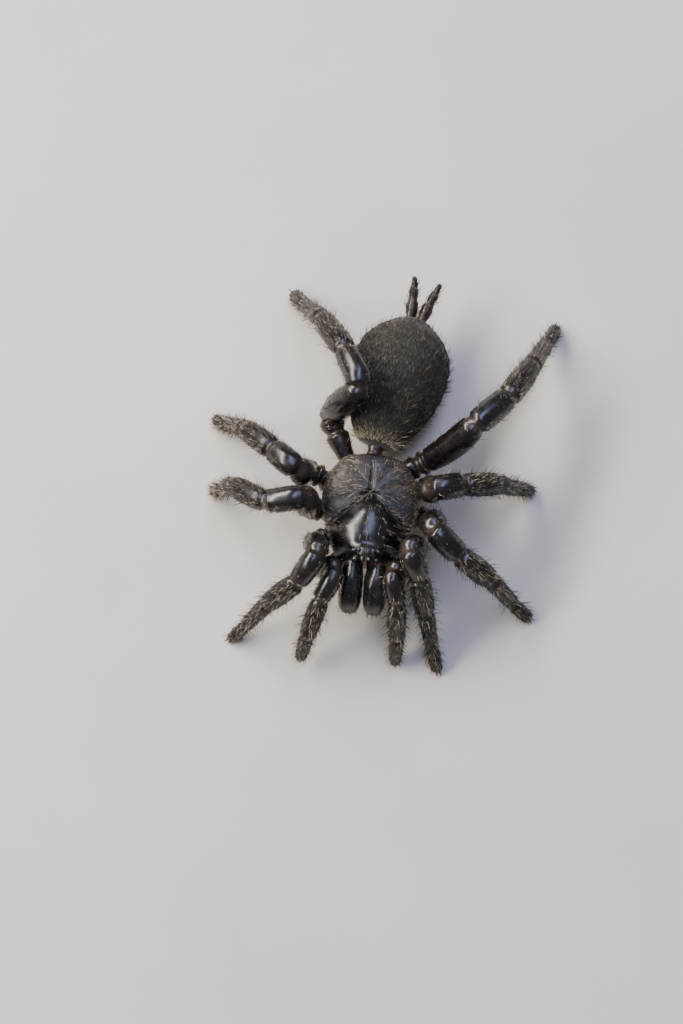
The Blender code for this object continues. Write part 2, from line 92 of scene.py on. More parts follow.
# Abdomen, turned to the spider's left
ABDOMEN_START = (0.1, -4.1, 3.7)
ABDOMEN_TURN = math.radians(12)
ABDOMEN_SIDE = np.array((math.cos(ABDOMEN_TURN), math.sin(ABDOMEN_TURN), 0))
ABDOMEN_LENGTH = 10.7
ABDOMEN_MIDDLE_Z = 3.85
ABDOMEN_HALF_WIDTH = 3.9
ABDOMEN_HALF_HEIGHT = 3.3
# Its wrinkles, belly furrow, dimples and book lung covers, as shares of its thickness and length
WRINKLE_DEPTH = 0.008
BELLY_FURROW_DEPTH = 0.05
DIMPLE_DEPTH = 0.03
DIMPLE_PLACES = (0.24, 0.42, 0.58)
LUNG_RISE = 0.03
LUNG_ANGLES = (math.radians(238), math.radians(302))

# Jaws and fangs: the middle line of the left one, and where its places stand as shares of it
JAW_SPINE = np.array([(0.95, 5.3, 4.85), (0.95, 6.25, 4.98), (0.95, 7.3, 4.95),
                      (0.93, 8.35, 4.2), (0.92, 8.6, 3.4)])
JAW_STATIONS = (0, 0.15, 0.5, 0.85, 1.0)
FANG_SPINE = np.array([(0.92, 8.6, 3.3), (0.9, 8.35, 2.62), (0.84, 7.3, 2.7),
                       (0.76, 6.3, 2.9), (0.66, 5.55, 2.85)])
FANG_STATIONS = (0, 0.15, 0.45, 0.75, 1.0)

# Legs: lengths of femur, patella, tibia, metatarsus and tarsus, and a thickness factor
LEG_LENGTHS = {
    1: (5.8, 3.3, 3.5, 3.4, 2.2),
    2: (5.1, 3.3, 3.6, 3.5, 2.3),
    3: (4.6, 3.1, 3.3, 3.4, 2.3),
    4: (6.0, 3.7, 4.3, 4.3, 2.5),
}
LEG_THICKNESS = {1: 0.9, 2: 0.98, 3: 1.01, 4: 1.06}
PALP_LENGTHS = (4.6, 3.3, 3.5, 2.9)
PALP_THICKNESS = 0.79

# Root and end of the trochanter, then headings (degrees from straight ahead towards the left) of
# femur, patella, tibia and foot, then slopes (degrees above level) of femur, patella and tibia
LEG_POSES = {
    "R1": ((-1.6, 2.4, 2.75), (-3.7, 3.35, 3.2), (6, -35, -57, -50), (69, -37, -42)),
    "R2": ((-1.75, 1.0, 2.75), (-4.3, 1.05, 3.2), (-70, -81, -118, -114), (84, -17, -30)),
    "R3": ((-1.75, -0.55, 2.75), (-4.5, -1.8, 3.2), (-48, -131, -128, -124), (71, -23, -29)),
    "R4": ((-1.5, -2.2, 2.75), (-3.65, -6.2, 3.45), (118, -152, -146, -143), (63, -18, -33)),
    "L1": ((1.6, 2.4, 2.75), (3.75, 3.45, 3.2), (-35, 32, 20, 20), (77, -48, -50)),
    "L2": ((1.75, 1.0, 2.75), (4.5, 0.95, 3.2), (8, 56, 64, 60), (69, -31, -35)),
    "L3": ((1.75, -0.55, 2.75), (4.5, -1.4, 3.2), (-15, 108, 104, 107), (75, -22, -31)),
    "L4": ((1.5, -2.0, 2.75), (4.1, -3.5, 3.3), (122, 138, 152, 157), (49, -17, -31)),
}
PALP_POSES = {
    "R": ((-1.05, 3.5, 2.5), (-3.1, 5.85, 2.9), (84, -26, -18, -15), (74, -26, -42, -60)),
    "L": ((1.05, 3.5, 2.5), (3.1, 5.75, 2.9), (-94, 18, 6, 3), (74, -35, -50, -55)),
}

LIMB_NAMES = (*LEG_POSES, *PALP_POSES)

# Half width, depth to the back and depth to the belly at stations along a leg, counted in joints
STATIONS = (0, 0.35, 0.68, 0.8, 0.92, 1, 1.15, 1.3, 1.55, 1.85, 2, 2.15, 2.5, 2.85, 3,
            3.15, 3.5, 3.85, 4, 4.15, 4.5, 5, 5.5, 5.85, 6)
WIDTHS = (0.52, 0.68, 0.9, 0.84, 0.98, 0.94, 1.0, 1.07, 1.12, 1.04, 0.94, 1.0, 1.04, 0.96,
          0.86, 0.9, 0.92, 0.84, 0.74, 0.72, 0.64, 0.55, 0.51, 0.44, 0.34)
BACKS = (0.62, 0.84, 0.92, 0.84, 0.84, 0.6, 0.74, 0.98, 1.15, 1.04, 0.9, 1.0, 1.04, 0.93,
         0.8, 0.9, 0.92, 0.82, 0.72, 0.7, 0.62, 0.53, 0.5, 0.44, 0.34)
BELLIES = (0.62, 0.8, 0.84, 0.76, 0.78, 0.74, 0.95, 1.05, 0.98, 0.54, 0.4, 0.48, 0.8, 0.82,
           0.6, 0.82, 0.88, 0.8, 0.55, 0.66, 0.62, 0.5, 0.5, 0.44, 0.34)
# Outline of a palp's end after joint 4, and how much of a leg's and a palp's tip is left off
PALP_END_STATIONS = (4.15, 4.5, 4.85, 5)
PALP_END_SIZES = (0.7, 0.66, 0.5, 0.3)
LEG_TIP_CUT = 0.2
PALP_TIP_CUT = 0.12
# Joints: the hip's place counted in joints, then the soft fold and the rims beside it
HIP_COUNT = 0.74
FOLD_WIDTH = 0.17
FOLD_DEPTH = 0.17
RIM_PLACE = 0.34
RIM_WIDTH = 0.1
RIM_HEIGHT = 0.035
FEMUR_BOW = 0.3
METATARSUS_STEEPER = 4
PATH_STEP = 0.02
KNEE_BEND_RADIUS = 1.1
JOINT_BEND_RADIUS = 0.85
SKIN_SHARE = 0.94

# Eyes: place as (side, ahead), then half width, half length and height
EYES = {
    "eye_front_middle": (0.24, 5.32, 0.16, 0.16, 0.13),
    "eye_front_side": (0.82, 5.28, 0.3, 0.24, 0.2),
    "eye_rear_side": (0.92, 4.68, 0.22, 0.17, 0.14),
    "eye_rear_middle": (0.54, 4.68, 0.13, 0.16, 0.1),
}
# Spinnerets: side and height at the root, both at the tip, then length and half thickness
SPINNERETS = {
    "spinneret_long": (0.5, 3.85, 1.05, 4.2, 2.9, 0.38),
    "spinneret_short": (0.25, 2.98, 0.32, 2.9, 0.9, 0.17),
}
# Claws: place to the side, arch and length
LEG_CLAWS = ((-0.11, 0.42, 0.55), (0.11, 0.42, 0.55), (0.0, 0.1, 0.3))
PALP_CLAWS = ((0.0, 0.3, 0.42),)

# The solids that one limb's skin stands for
LEG_PARTS = ("coxa", "femur", "patella_tibia", "foot")
PALP_PARTS = ("coxa", "femur", "patella_tibia", "tarsus")

# Rows along each piece and points round it
CARAPACE_GRID = (230, 190)
UNDERSIDE_POINTS = 30
TRUNK_GRID = (40, 96)
WAIST_GRID = (60, 40)
STERNUM_GRID = (120, 72)
ABDOMEN_GRID = (300, 170)
JAW_GRID = (150, 96)
FANG_GRID = (110, 40)
LENS_GRID = (26, 44)
COLLAR_ROWS = 16
SPINNERET_GRID = (120, 48)
LIMB_GRID = (380, 40)
CLAW_GRID = (28, 14)

# A bristle: where its rings of three points stand, how thick they are, and the tip as the last point
RING_SHARES = np.array((0.0, 0.4, 0.78))
RING_SIZES = np.array((1.0, 0.8, 0.42))
BRISTLE_REACH = np.append(np.repeat(RING_SHARES, 3), 1.0)
BRISTLE_POINTS = len(BRISTLE_REACH)
# Width of a bristle's patch on the UV map
PATCH = 0.003
# Half thickness of a spine, and how deep below the skin the bristles and the spines start
SPINE_RADIUS = 0.05
ROOT_DEPTH = 0.01
SPINE_ROOT_DEPTH = 0.03
# Lowest places over the floor
SKIN_LOWEST = 0.03
CLAW_LOWEST = 0.01
BRISTLE_LOWEST = 0.004


# Curves and meshes

def through(stations, values, at):
    """A smooth curve through the values at the stations: cubic pieces whose slopes match."""
    stations, values = np.asarray(stations, float), np.asarray(values, float)
    at = np.asarray(at, float)
    slopes = np.gradient(values, stations, axis=0)
    first = np.clip(np.searchsorted(stations, at, side="right") - 1, 0, len(stations) - 2)
    span = stations[first + 1] - stations[first]
    t = np.clip((at - stations[first]) / span, 0, 1)
    if values.ndim > 1:
        t, span = t[..., None], span[..., None]
    blend = t * t * (3 - 2 * t)
    leave = (t ** 3 - 2 * t ** 2 + t) * span * slopes[first]
    arrive = (t ** 3 - t ** 2) * span * slopes[first + 1]
    return values[first] * (1 - blend) + values[first + 1] * blend + leave + arrive


def bell(value, width):
    """One at zero, falling away on both sides over the width."""
    return np.exp(-(value / width) ** 2)


def fade(value, low, high):
    """Zero below low, one above high, with a soft ramp between."""
    t = np.clip((value - low) / (high - low), 0, 1)
    return t * t * (3 - 2 * t)


def full_turn(sides):
    """Even angles round a ring."""
    return np.linspace(0, 2 * math.pi, sides, endpoint=False)


def round_nose(from_start, from_end):
    """Size beside two round ends: sqrt(1 - (1 - s)^2), where s runs from 0 at an end to 1."""
    left, right = np.clip(from_start, 0, 1), np.clip(from_end, 0, 1)
    return np.sqrt(np.maximum((1 - (1 - left) ** 2) * (1 - (1 - right) ** 2), 1e-4))


def world_place(points):
    """Turns (x, ahead, z) in millimetres into the row's X, Y and Z in metres."""
    points = np.asarray(points, float)
    return MM * np.stack([points[..., 0] + PIT[0], PIT[1] - points[..., 1], points[..., 2]], -1)


def new_mesh_object(name, points, faces, material, body="root"):
    """An object at the origin from points in (x, ahead, z) and triangles or quads."""
    mesh = bpy.data.meshes.new(name)
    places = world_place(points).astype(np.float32)
    mesh.vertices.add(len(places))
    mesh.vertices.foreach_set("co", places.ravel())
    flat = np.concatenate([np.asarray(group, np.int32).ravel() for group in faces])
    sizes = np.concatenate([np.full(len(group), group.shape[1], np.int32) for group in faces])
    starts = np.concatenate([[0], np.cumsum(sizes)[:-1]]).astype(np.int32)
    mesh.loops.add(len(flat))
    mesh.loops.foreach_set("vertex_index", flat)
    mesh.polygons.add(len(sizes))
    mesh.polygons.foreach_set("loop_start", starts)
    mesh.update(calc_edges=True)
    mesh.shade_smooth()
    mesh.materials.append(material)
    piece = bpy.data.objects.new(name, mesh)
    bpy.context.scene.collection.objects.link(piece)
    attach(piece, body)
    return piece


def add_values(piece, **values):
    """Stores one number for each point under each name, for the materials to read."""
    for name, numbers in values.items():
        layer = piece.data.attributes.new(name, "FLOAT", "POINT")
        layer.data.foreach_set("value", np.asarray(numbers, np.float32).ravel())


def closed_grid(rings):
    """Points and faces of a tube through the rings, each end drawn to one point in its middle."""
    count, sides = rings.shape[:2]
    points = np.concatenate([rings.reshape(-1, 3), rings[0].mean(0)[None], rings[-1].mean(0)[None]])
    ring = np.arange(count - 1)[:, None] * sides
    here, after = np.arange(sides)[None, :], (np.arange(sides)[None, :] + 1) % sides
    quads = np.stack([ring + here, ring + after, ring + sides + after, ring + sides + here], -1)
    quads = quads.reshape(-1, 4)
    side, beside = np.arange(sides), (np.arange(sides) + 1) % sides
    last = (count - 1) * sides
    start = np.stack([beside, side, np.full(sides, count * sides)], -1)
    end = np.stack([last + side, last + beside, np.full(sides, count * sides + 1)], -1)
    if signed_volume(points, quads) > 0:
        return points, [quads, np.concatenate([start, end])]
    return points, [quads[:, ::-1], np.concatenate([start, end])[:, ::-1]]


def signed_volume(points, quads):
    """Positive where the faces point out, once the places are turned into the row's frame."""
    places = world_place(points)
    places = places - places.mean(0)
    a, b, c, d = (places[quads[:, k]] for k in range(4))
    return (np.einsum("ij,ij->i", a, np.cross(b, c)) + np.einsum("ij,ij->i", a, np.cross(c, d))).sum()


def direction(heading, slope):
    """The unit vector of a heading from straight ahead towards the left and a slope above level."""
    heading, slope = math.radians(heading), math.radians(slope)
    return np.array((math.sin(heading) * math.cos(slope),
                     math.cos(heading) * math.cos(slope), math.sin(slope)))


def unit(vectors):
    """The vectors at length one."""
    return vectors / np.maximum(np.linalg.norm(vectors, axis=-1, keepdims=True), 1e-9)


def outward(normals, away):
    """The unit normals, turned to the side that faces away from the middle."""
    normals = unit(normals)
    return normals * np.sign(np.einsum("...j,...j->...", normals, away))[..., None]


# Limbs

def leg_joints(name):
    """The joints of a leg from root to tip. The foot's slope lets the tip reach the floor."""
    root, hip, headings, slopes = LEG_POSES[name]
    lengths = LEG_LENGTHS[int(name[1])]
    joints = [np.array(root, float), np.array(hip, float)]
    for heading, slope, length in zip(headings, slopes, lengths):
        joints.append(joints[-1] + length * direction(heading, slope))
    ground = math.degrees(math.asin(joints[-1][2] / (lengths[3] + lengths[4])))
    joints.append(joints[-1] + lengths[3] * direction(headings[3], -ground - METATARSUS_STEEPER))
    left = math.degrees(math.asin(joints[-1][2] / lengths[4]))
    joints.append(joints[-1] + lengths[4] * direction(headings[3], -left))
    return joints


def palp_joints(name):
    """The joints of a palp from root to tip."""
    root, hip, headings, slopes = PALP_POSES[name]
    joints = [np.array(root, float), np.array(hip, float)]
    for heading, slope, length in zip(headings, slopes, PALP_LENGTHS):
        joints.append(joints[-1] + length * direction(heading, slope))
    return joints


def rounded_path(joints):
    """Points along a limb with an arc at each joint, and the joint count at each point."""
    points, counts = [], []
    start, start_count = joints[0], 0.0
    last = len(joints) - 1
    for k in range(1, last):
        before, after = joints[k] - joints[k - 1], joints[k + 1] - joints[k]
        first_length, second_length = np.linalg.norm(before), np.linalg.norm(after)
        before, after = before / first_length, after / second_length
        turn = math.acos(np.clip(before @ after, -1, 1))
        radius = KNEE_BEND_RADIUS if k == 2 else JOINT_BEND_RADIUS
        reach = min(radius * math.tan(turn / 2), 0.55 * first_length, 0.55 * second_length)
        radius = reach / math.tan(turn / 2)
        enter = joints[k] - reach * before
        steps = max(2, int(np.linalg.norm(enter - start) / PATH_STEP))
        share = np.linspace(0, 1, steps, endpoint=False)
        points.append(start + share[:, None] * (enter - start))
        counts.append(start_count + share * (k - reach / first_length - start_count))
        inward = unit(after - before * math.cos(turn))
        bend = np.linspace(0, turn, max(4, int(radius * turn / PATH_STEP)), endpoint=False)
        centre = enter + radius * inward
        points.append(centre + radius * (np.sin(bend)[:, None] * before
                                         - np.cos(bend)[:, None] * inward))
        half = bend / turn
        counts.append(np.where(half < 0.5, k - (1 - 2 * half) * reach / first_length,
                               k + (2 * half - 1) * reach / second_length))
        start, start_count = joints[k] + reach * after, k + reach / second_length
    steps = int(np.linalg.norm(joints[last] - start) / PATH_STEP)
    share = np.linspace(0, 1, steps)
    points.append(start + share[:, None] * (joints[last] - start))
    counts.append(start_count + share * (last - start_count))
    points, counts = np.concatenate(points), np.concatenate(counts)
    bow = FEMUR_BOW * np.sin(math.pi * np.clip(counts - 1, 0, 1)) * np.sign(points[0, 0])
    return points + bow[:, None] * LEFT, counts


class Limb:
    """A leg or palp as a surface: a place for every distance along it and angle round it.

    A ring is an oval across the path: half width along the level side vector, and separate depths
    to the back and the belly. Beside each joint the shell flares into a rim, and between the rims
    the soft skin sinks in.
    """

    def __init__(self, name, palp=False):
        joints = palp_joints(name) if palp else leg_joints(name)
        self.palp = palp
        self.label = f"palp_{name}" if palp else f"leg_{name}"
        self.parts = PALP_PARTS if palp else LEG_PARTS
        self.path, self.counts = rounded_path(joints)
        steps = np.linalg.norm(np.diff(self.path, axis=0), axis=1)
        self.length = np.concatenate([[0], np.cumsum(steps)])
        self.slope = unit(np.gradient(self.path, axis=0))
        self.side = unit(np.cross(UP, joints[3] - joints[1]))
        self.thickness = (PALP_THICKNESS if palp else LEG_THICKNESS[int(name[1])]) * SKIN_SHARE
        self.last = len(joints) - 1
        self.joint_at = [np.interp(k, self.counts, self.length) for k in range(self.last + 1)]
        self.hip_at = np.interp(HIP_COUNT, self.counts, self.length)
        self.end = self.length[-1] - (PALP_TIP_CUT if palp else LEG_TIP_CUT)
        self.stations, self.sizes = self.profile()

    def profile(self):
        """Palps end in one tarsus, so their outline narrows to its tip after the tibia."""
        if not self.palp:
            return STATIONS, (WIDTHS, BACKS, BELLIES)
        shared = STATIONS.index(4) + 1
        return (STATIONS[:shared] + PALP_END_STATIONS,
                tuple(sizes[:shared] + PALP_END_SIZES for sizes in (WIDTHS, BACKS, BELLIES)))

    def fold(self, at):
        """How deep in a soft joint each place is, from 0 on the shell to 1 in the fold."""
        deep = np.zeros_like(at)
        for joint in [self.hip_at] + self.joint_at[1:-1]:
            deep = np.maximum(deep, bell(at - joint, FOLD_WIDTH))
        return deep

    def rim(self, at):
        """One on the raised rims on both sides of each joint."""
        raised = np.zeros_like(at)
        for joint in [self.hip_at] + self.joint_at[1:-1]:
            raised += bell(np.abs(at - joint) - RIM_PLACE, RIM_WIDTH)
        return raised

    def frame_at(self, at):
        """Centre, side vector, back vector and joint count at distances along the path."""
        centre = np.stack([np.interp(at, self.length, self.path[:, k]) for k in range(3)], -1)
        slope = unit(np.stack([np.interp(at, self.length, self.slope[:, k]) for k in range(3)], -1))
        across = unit(self.side - (slope @ self.side)[..., None] * slope)
        return centre, slope, across, np.cross(slope, across)

    def surface(self, at, angle):
        """Places on the skin: angle 0 is the side vector, a quarter turn is the back."""
        centre, _, across, above = self.frame_at(at)
        count = np.interp(at, self.length, self.counts)
        wide, back, belly = (self.thickness * through(self.stations, s, count) for s in self.sizes)
        trim = (1 - FOLD_DEPTH * self.fold(at) + RIM_HEIGHT * self.rim(at)) * self.ends(at)
        rise = np.sin(angle)
        depth = np.where(rise > 0, back, belly)
        return (centre + (wide * trim * np.cos(angle))[..., None] * across
                + (depth * trim * rise)[..., None] * above)

    def ends(self, at):
        """Both ends close in a round nose."""
        return round_nose(at / 0.35, (self.end - at) / 0.3)

    def normal(self, at, angle):
        """Which way the skin faces, from its slopes along and round the limb."""
        small = 0.03
        along = self.surface(at + small, angle) - self.surface(at - small, angle)
        round_it = self.surface(at, angle + small) - self.surface(at, angle - small)
        return outward(np.cross(round_it, along), self.surface(at, angle) - self.frame_at(at)[0])


# Body shapes

def carapace_half_width(ahead):
    """Half width of the shield from its rear edge to its front one."""
    return through(
        (-3.4, -3.05, -2.4, -1.4, -0.4, 0.6, 1.8, 3.0, 4.2, 5.1, 5.6),
        (1.5, 2.15, 2.8, 3.38, 3.68, 3.7, 3.45, 3.05, 2.6, 2.2, 1.7), ahead)


def caput_half_width(ahead):
    """The cephalic grooves spread from the pit to the margin as the caput widens."""
    return np.minimum(0.25 + 1.1 * np.maximum(ahead, 0), 1.03 * carapace_half_width(ahead))


def groove_depth(x, ahead):
    """One in the cephalic grooves, zero away from them."""
    window = np.clip((ahead + 0.1) / 0.6, 0, 1) * np.clip((4.3 - ahead) / 1.2, 0, 1)
    return window * bell(np.abs(x) - caput_half_width(ahead), 0.2)


def pit_depth(x, ahead):
    """The pit is a short trench whose ends curve forward."""
    return np.exp(-((ahead + 0.15 - 0.45 * x ** 2) / 0.2) ** 2 - (x / 0.75) ** 4)


def furrow_depth(x, ahead, across):
    """Three shallow furrows a side run from the pit towards the legs."""
    reach = np.hypot(x, ahead + 0.2)
    turn = np.arctan2(np.abs(x), -(ahead + 0.2))
    window = np.clip((reach - 0.7) / 0.8, 0, 1) * np.clip((1 - across) / 0.3, 0, 1)
    return window * sum(bell(turn - furrow, 0.17) for furrow in (0.62, 1.25, 1.85))


def carapace_height(x, ahead):
    """Height of the shield's top above its margin: a low dome, plus the caput's arch in front of
    the pit, less the grooves, the pit, the furrows and a saddle, plus the eye mound.
    """
    across = np.clip(np.abs(x) / carapace_half_width(ahead), 0, 1)
    thorax = through((-3.4, -2.7, -1.6, 0, 2, 4, 5.6), (0.45, 0.8, 1.02, 1.1, 1.0, 0.85, 0.58), ahead)
    height = thorax * (1 - across ** 2) ** 0.6
    caput = through((-3.4, -0.2, 0.3, 1.0, 2.0, 3.0, 4.0, 5.0, 5.6),
                    (0, 0, 0.12, 0.56, 0.88, 1.0, 1.0, 0.9, 0.62), ahead)
    inside = np.clip(np.abs(x) / caput_half_width(ahead), 0, 1)
    caput = caput * (1 - 0.5 * fade(ahead + np.abs(x), 5.5, 6.9))
    height = height + CAPUT_HEIGHT * caput * (1 - inside ** 2) ** 0.85
    height = height - GROOVE_DEPTH * groove_depth(x, ahead) - PIT_DEPTH * pit_depth(x, ahead)
    height = height - FURROW_DEPTH * furrow_depth(x, ahead, across)
    height = height - SADDLE_DEPTH * bell(x, 0.75) * bell(ahead - EYE_MOUND_AHEAD + 0.85, 0.5)
    on_mound = ahead - EYE_MOUND_AHEAD
    mound = bell(x, 1.1) * np.exp(-(on_mound / 0.72) ** 4)
    return height + (EYE_MOUND_HEIGHT + EYE_MOUND_TILT * on_mound) * mound


def carapace_surface(angle, ahead):
    """Places on the shield's top: angle 0 is the left margin and pi the right one."""
    x = carapace_half_width(ahead) * np.cos(angle)
    close = carapace_ends(ahead)
    return np.stack([x * close, ahead, MARGIN_Z + carapace_height(x, ahead) * close], -1)


def carapace_ends(ahead):
    """The shield's ends close in a round nose."""
    return round_nose((ahead - CARAPACE_REAR) / 0.35, (CARAPACE_FRONT - ahead) / 0.24)


def carapace_normal(angle, ahead, small=0.02):
    """Which way the shield faces, from its slopes in both directions, turned upwards."""
    along = carapace_surface(angle, ahead + small) - carapace_surface(angle, ahead - small)
    round_it = carapace_surface(angle + small, ahead) - carapace_surface(angle - small, ahead)
    return outward(np.cross(round_it, along), np.broadcast_to(UP, along.shape))


def abdomen_axis(share):
    """Centre of the abdomen at a share of its length, which runs on past 1 for the spinnerets."""
    along = ABDOMEN_LENGTH * share
    z = through((0, 0.3, 0.6, 1.0, 1.4),
                (ABDOMEN_START[2], ABDOMEN_MIDDLE_Z, ABDOMEN_MIDDLE_Z, 3.6, 3.6), share)
    return np.stack([ABDOMEN_START[0] + math.sin(ABDOMEN_TURN) * along,
                     ABDOMEN_START[1] - math.cos(ABDOMEN_TURN) * along, z], -1)


def book_lung(angle, share):
    """One on the four pale covers of the book lungs, on the belly near the front."""
    side = np.minimum(*(np.abs(angle - lung) for lung in LUNG_ANGLES))
    return bell(side, 0.3) * (bell(share - 0.17, 0.05) + bell(share - 0.31, 0.055))


def abdomen_surface(angle, share):
    """A long egg, widest past the middle, with soft cross wrinkles that fade towards the back."""
    shape = through((0, 0.05, 0.14, 0.28, 0.45, 0.62, 0.78, 0.9, 0.97, 1.0),
                    (0.3, 0.46, 0.63, 0.81, 0.96, 1.0, 0.9, 0.64, 0.38, 0.24), share)
    sag = 1 + 0.02 * np.sin(2 * angle + 0.8) * np.sin(5 * share)
    wrinkle = WRINKLE_DEPTH * np.sin(58 * share + 1.6 * np.sin(3 * angle)) * fade(share, 0.02, 0.1)
    furrow = BELLY_FURROW_DEPTH * bell(share - 0.375, 0.02) * (np.sin(angle) < -0.2)
    dimples = sum(bell(share - place, 0.018) * bell(np.abs(angle - math.pi / 2) - 0.22, 0.07)
                  for place in DIMPLE_PLACES)
    size = shape * (0.955 * sag + wrinkle - furrow - DIMPLE_DEPTH * dimples
                    + LUNG_RISE * book_lung(angle, share))
    size = size * round_nose(share / 0.03, 1)
    axis = abdomen_axis(share)
    return (axis + (ABDOMEN_HALF_WIDTH * size * np.cos(angle))[..., None] * ABDOMEN_SIDE
            + (ABDOMEN_HALF_HEIGHT * size * np.sin(angle))[..., None] * UP)


def tube(path, wide, back, belly, side, sides):
    """Oval rings square to a path."""
    slope = unit(np.gradient(path, axis=0))
    across = unit(side - (slope @ side)[:, None] * slope)
    above = np.cross(slope, across)
    angle = full_turn(sides)
    rise = np.sin(angle)
    depth = np.where(rise > 0, back[:, None], belly[:, None])
    return (path[:, None, :] + (wide[:, None] * np.cos(angle))[..., None] * across[:, None, :]
            + (depth * rise)[..., None] * above[:, None, :])


def round_ends(share, start, end):
    """A piece's round noses, each as long as its share of the piece says."""
    return round_nose(share / start, (1 - share) / end)


def jaw_rings(hand):
    """A stout jaw bent down at the front: fullest above, with a shallow trough below for the fang."""
    rows, sides = JAW_GRID
    share = np.linspace(0, 1, rows)
    path = through(JAW_STATIONS, JAW_SPINE * (hand, 1, 1), share)
    wide = through(JAW_STATIONS, (0.76, 0.88, 0.91, 0.8, 0.6), share) * round_ends(share, 0.04, 0.1)
    deep = through(JAW_STATIONS, (1.1, 1.3, 1.3, 0.9, 0.55), share) * round_ends(share, 0.04, 0.1)
    rings = tube(path, wide, deep, deep, LEFT, sides)
    angle = full_turn(sides)
    trough = 0.16 * fade(share, 0.25, 0.5)[:, None] * bell(angle - 1.5 * math.pi, 0.35)[None, :]
    return rings + trough[..., None] * (path[:, None, :] - rings)


def fang_rings(hand):
    """A long curved cone that lies back under the jaw, a little flat at the sides."""
    rows, sides = FANG_GRID
    share = np.linspace(0, 1, rows)
    radius = through((0, 0.12, 0.2, 0.6, 1.0), (0.42, 0.4, 0.36, 0.24, 0.03), share)
    radius = radius * round_ends(share, 0.05, 0.001)
    path = through(FANG_STATIONS, FANG_SPINE * (hand, 1, 1), share)
    return tube(path, radius * 0.92, radius, radius * 0.95, LEFT, sides)


# Bristles

def scatter(count, seed, low, high):
    """Even random values between the lows and highs, one column for each pair."""
    random = np.random.default_rng(seed)
    return low + (np.asarray(high, float) - low) * random.random((count, len(low)))


def bristle_mesh(name, roots, normals, leans, lengths, radii, lifts, bends, spots, tones, material):
    """One mesh of thin tapered bristles with three sides, closed at the root and pointed.

    A bristle leaves the skin at its lift above the lean direction and bends over towards it:
    place = root + length * (s * start + bend * s^2 * (lean - start)).
    """
    count = len(roots)
    leans = unit(leans - np.einsum("ij,ij->i", leans, normals)[:, None] * normals)
    start = np.cos(lifts)[:, None] * leans + np.sin(lifts)[:, None] * normals
    aside = unit(np.cross(start, leans + 0.3 * normals))
    across = unit(np.cross(start, aside))
    turns = np.array((0.0, 2.0, 4.0)) * math.pi / 3
    points = np.empty((count, BRISTLE_POINTS, 3))
    bend = (bends[:, None] * (leans - start))
    for ring, (share, size) in enumerate(zip(RING_SHARES, RING_SIZES)):
        middle = roots + lengths[:, None] * (share * start + share ** 2 * bend)
        for corner, turn in enumerate(turns):
            points[:, 3 * ring + corner] = middle + (radii * size)[:, None] * (
                math.cos(turn) * aside + math.sin(turn) * across)
    points[:, 9] = roots + lengths[:, None] * (start + bend)
    lowest = BRISTLE_LOWEST + 0.001 * np.arange(BRISTLE_POINTS)
    points[..., 2] = np.maximum(points[..., 2], lowest)
    corners = [(0, 2, 1)]
    for ring in (0, 3):
        for side in range(3):
            beside = (side + 1) % 3
            corners += [(ring + side, ring + beside, ring + 3 + beside),
                        (ring + side, ring + 3 + beside, ring + 3 + side)]
    corners += [(6 + side, 6 + (side + 1) % 3, 9) for side in range(3)]
    corners = np.array(corners)
    inside = np.einsum("ij,ij->i", np.cross(points[:, 1] - points[:, 0], points[:, 2] - points[:, 0]),
                       start)
    if inside.mean() > 0:
        corners = corners[:, ::-1]
    faces = (corners[None] + BRISTLE_POINTS * np.arange(count)[:, None, None]).reshape(-1, 3)
    piece = new_mesh_object(name, points.reshape(-1, 3), [faces], material)
    add_values(piece, tone=np.repeat(tones, BRISTLE_POINTS), reach=np.tile(BRISTLE_REACH, count))
    bake_map(piece, spots, faces)
    return piece


def bake_map(piece, spots, faces):
    """A UV map where each bristle is a small patch at its root's place, given as shares along and
    round the skin.
    """
    corner = np.stack([BRISTLE_REACH, np.append(np.tile((0.0, 0.5, 1.0), 3), 0.5)], -1) - 0.5
    places = np.clip(spots, PATCH, 1 - PATCH)[:, None, :] + PATCH * corner[None]
    layer = piece.data.uv_layers.new(name="OFBake")
    layer.data.foreach_set("uv", places.reshape(-1, 2)[faces.ravel()].astype(np.float32).ravel())


# Materials

def link(tree, source, target):
    """Joins two sockets."""
    tree.links.new(source, target)


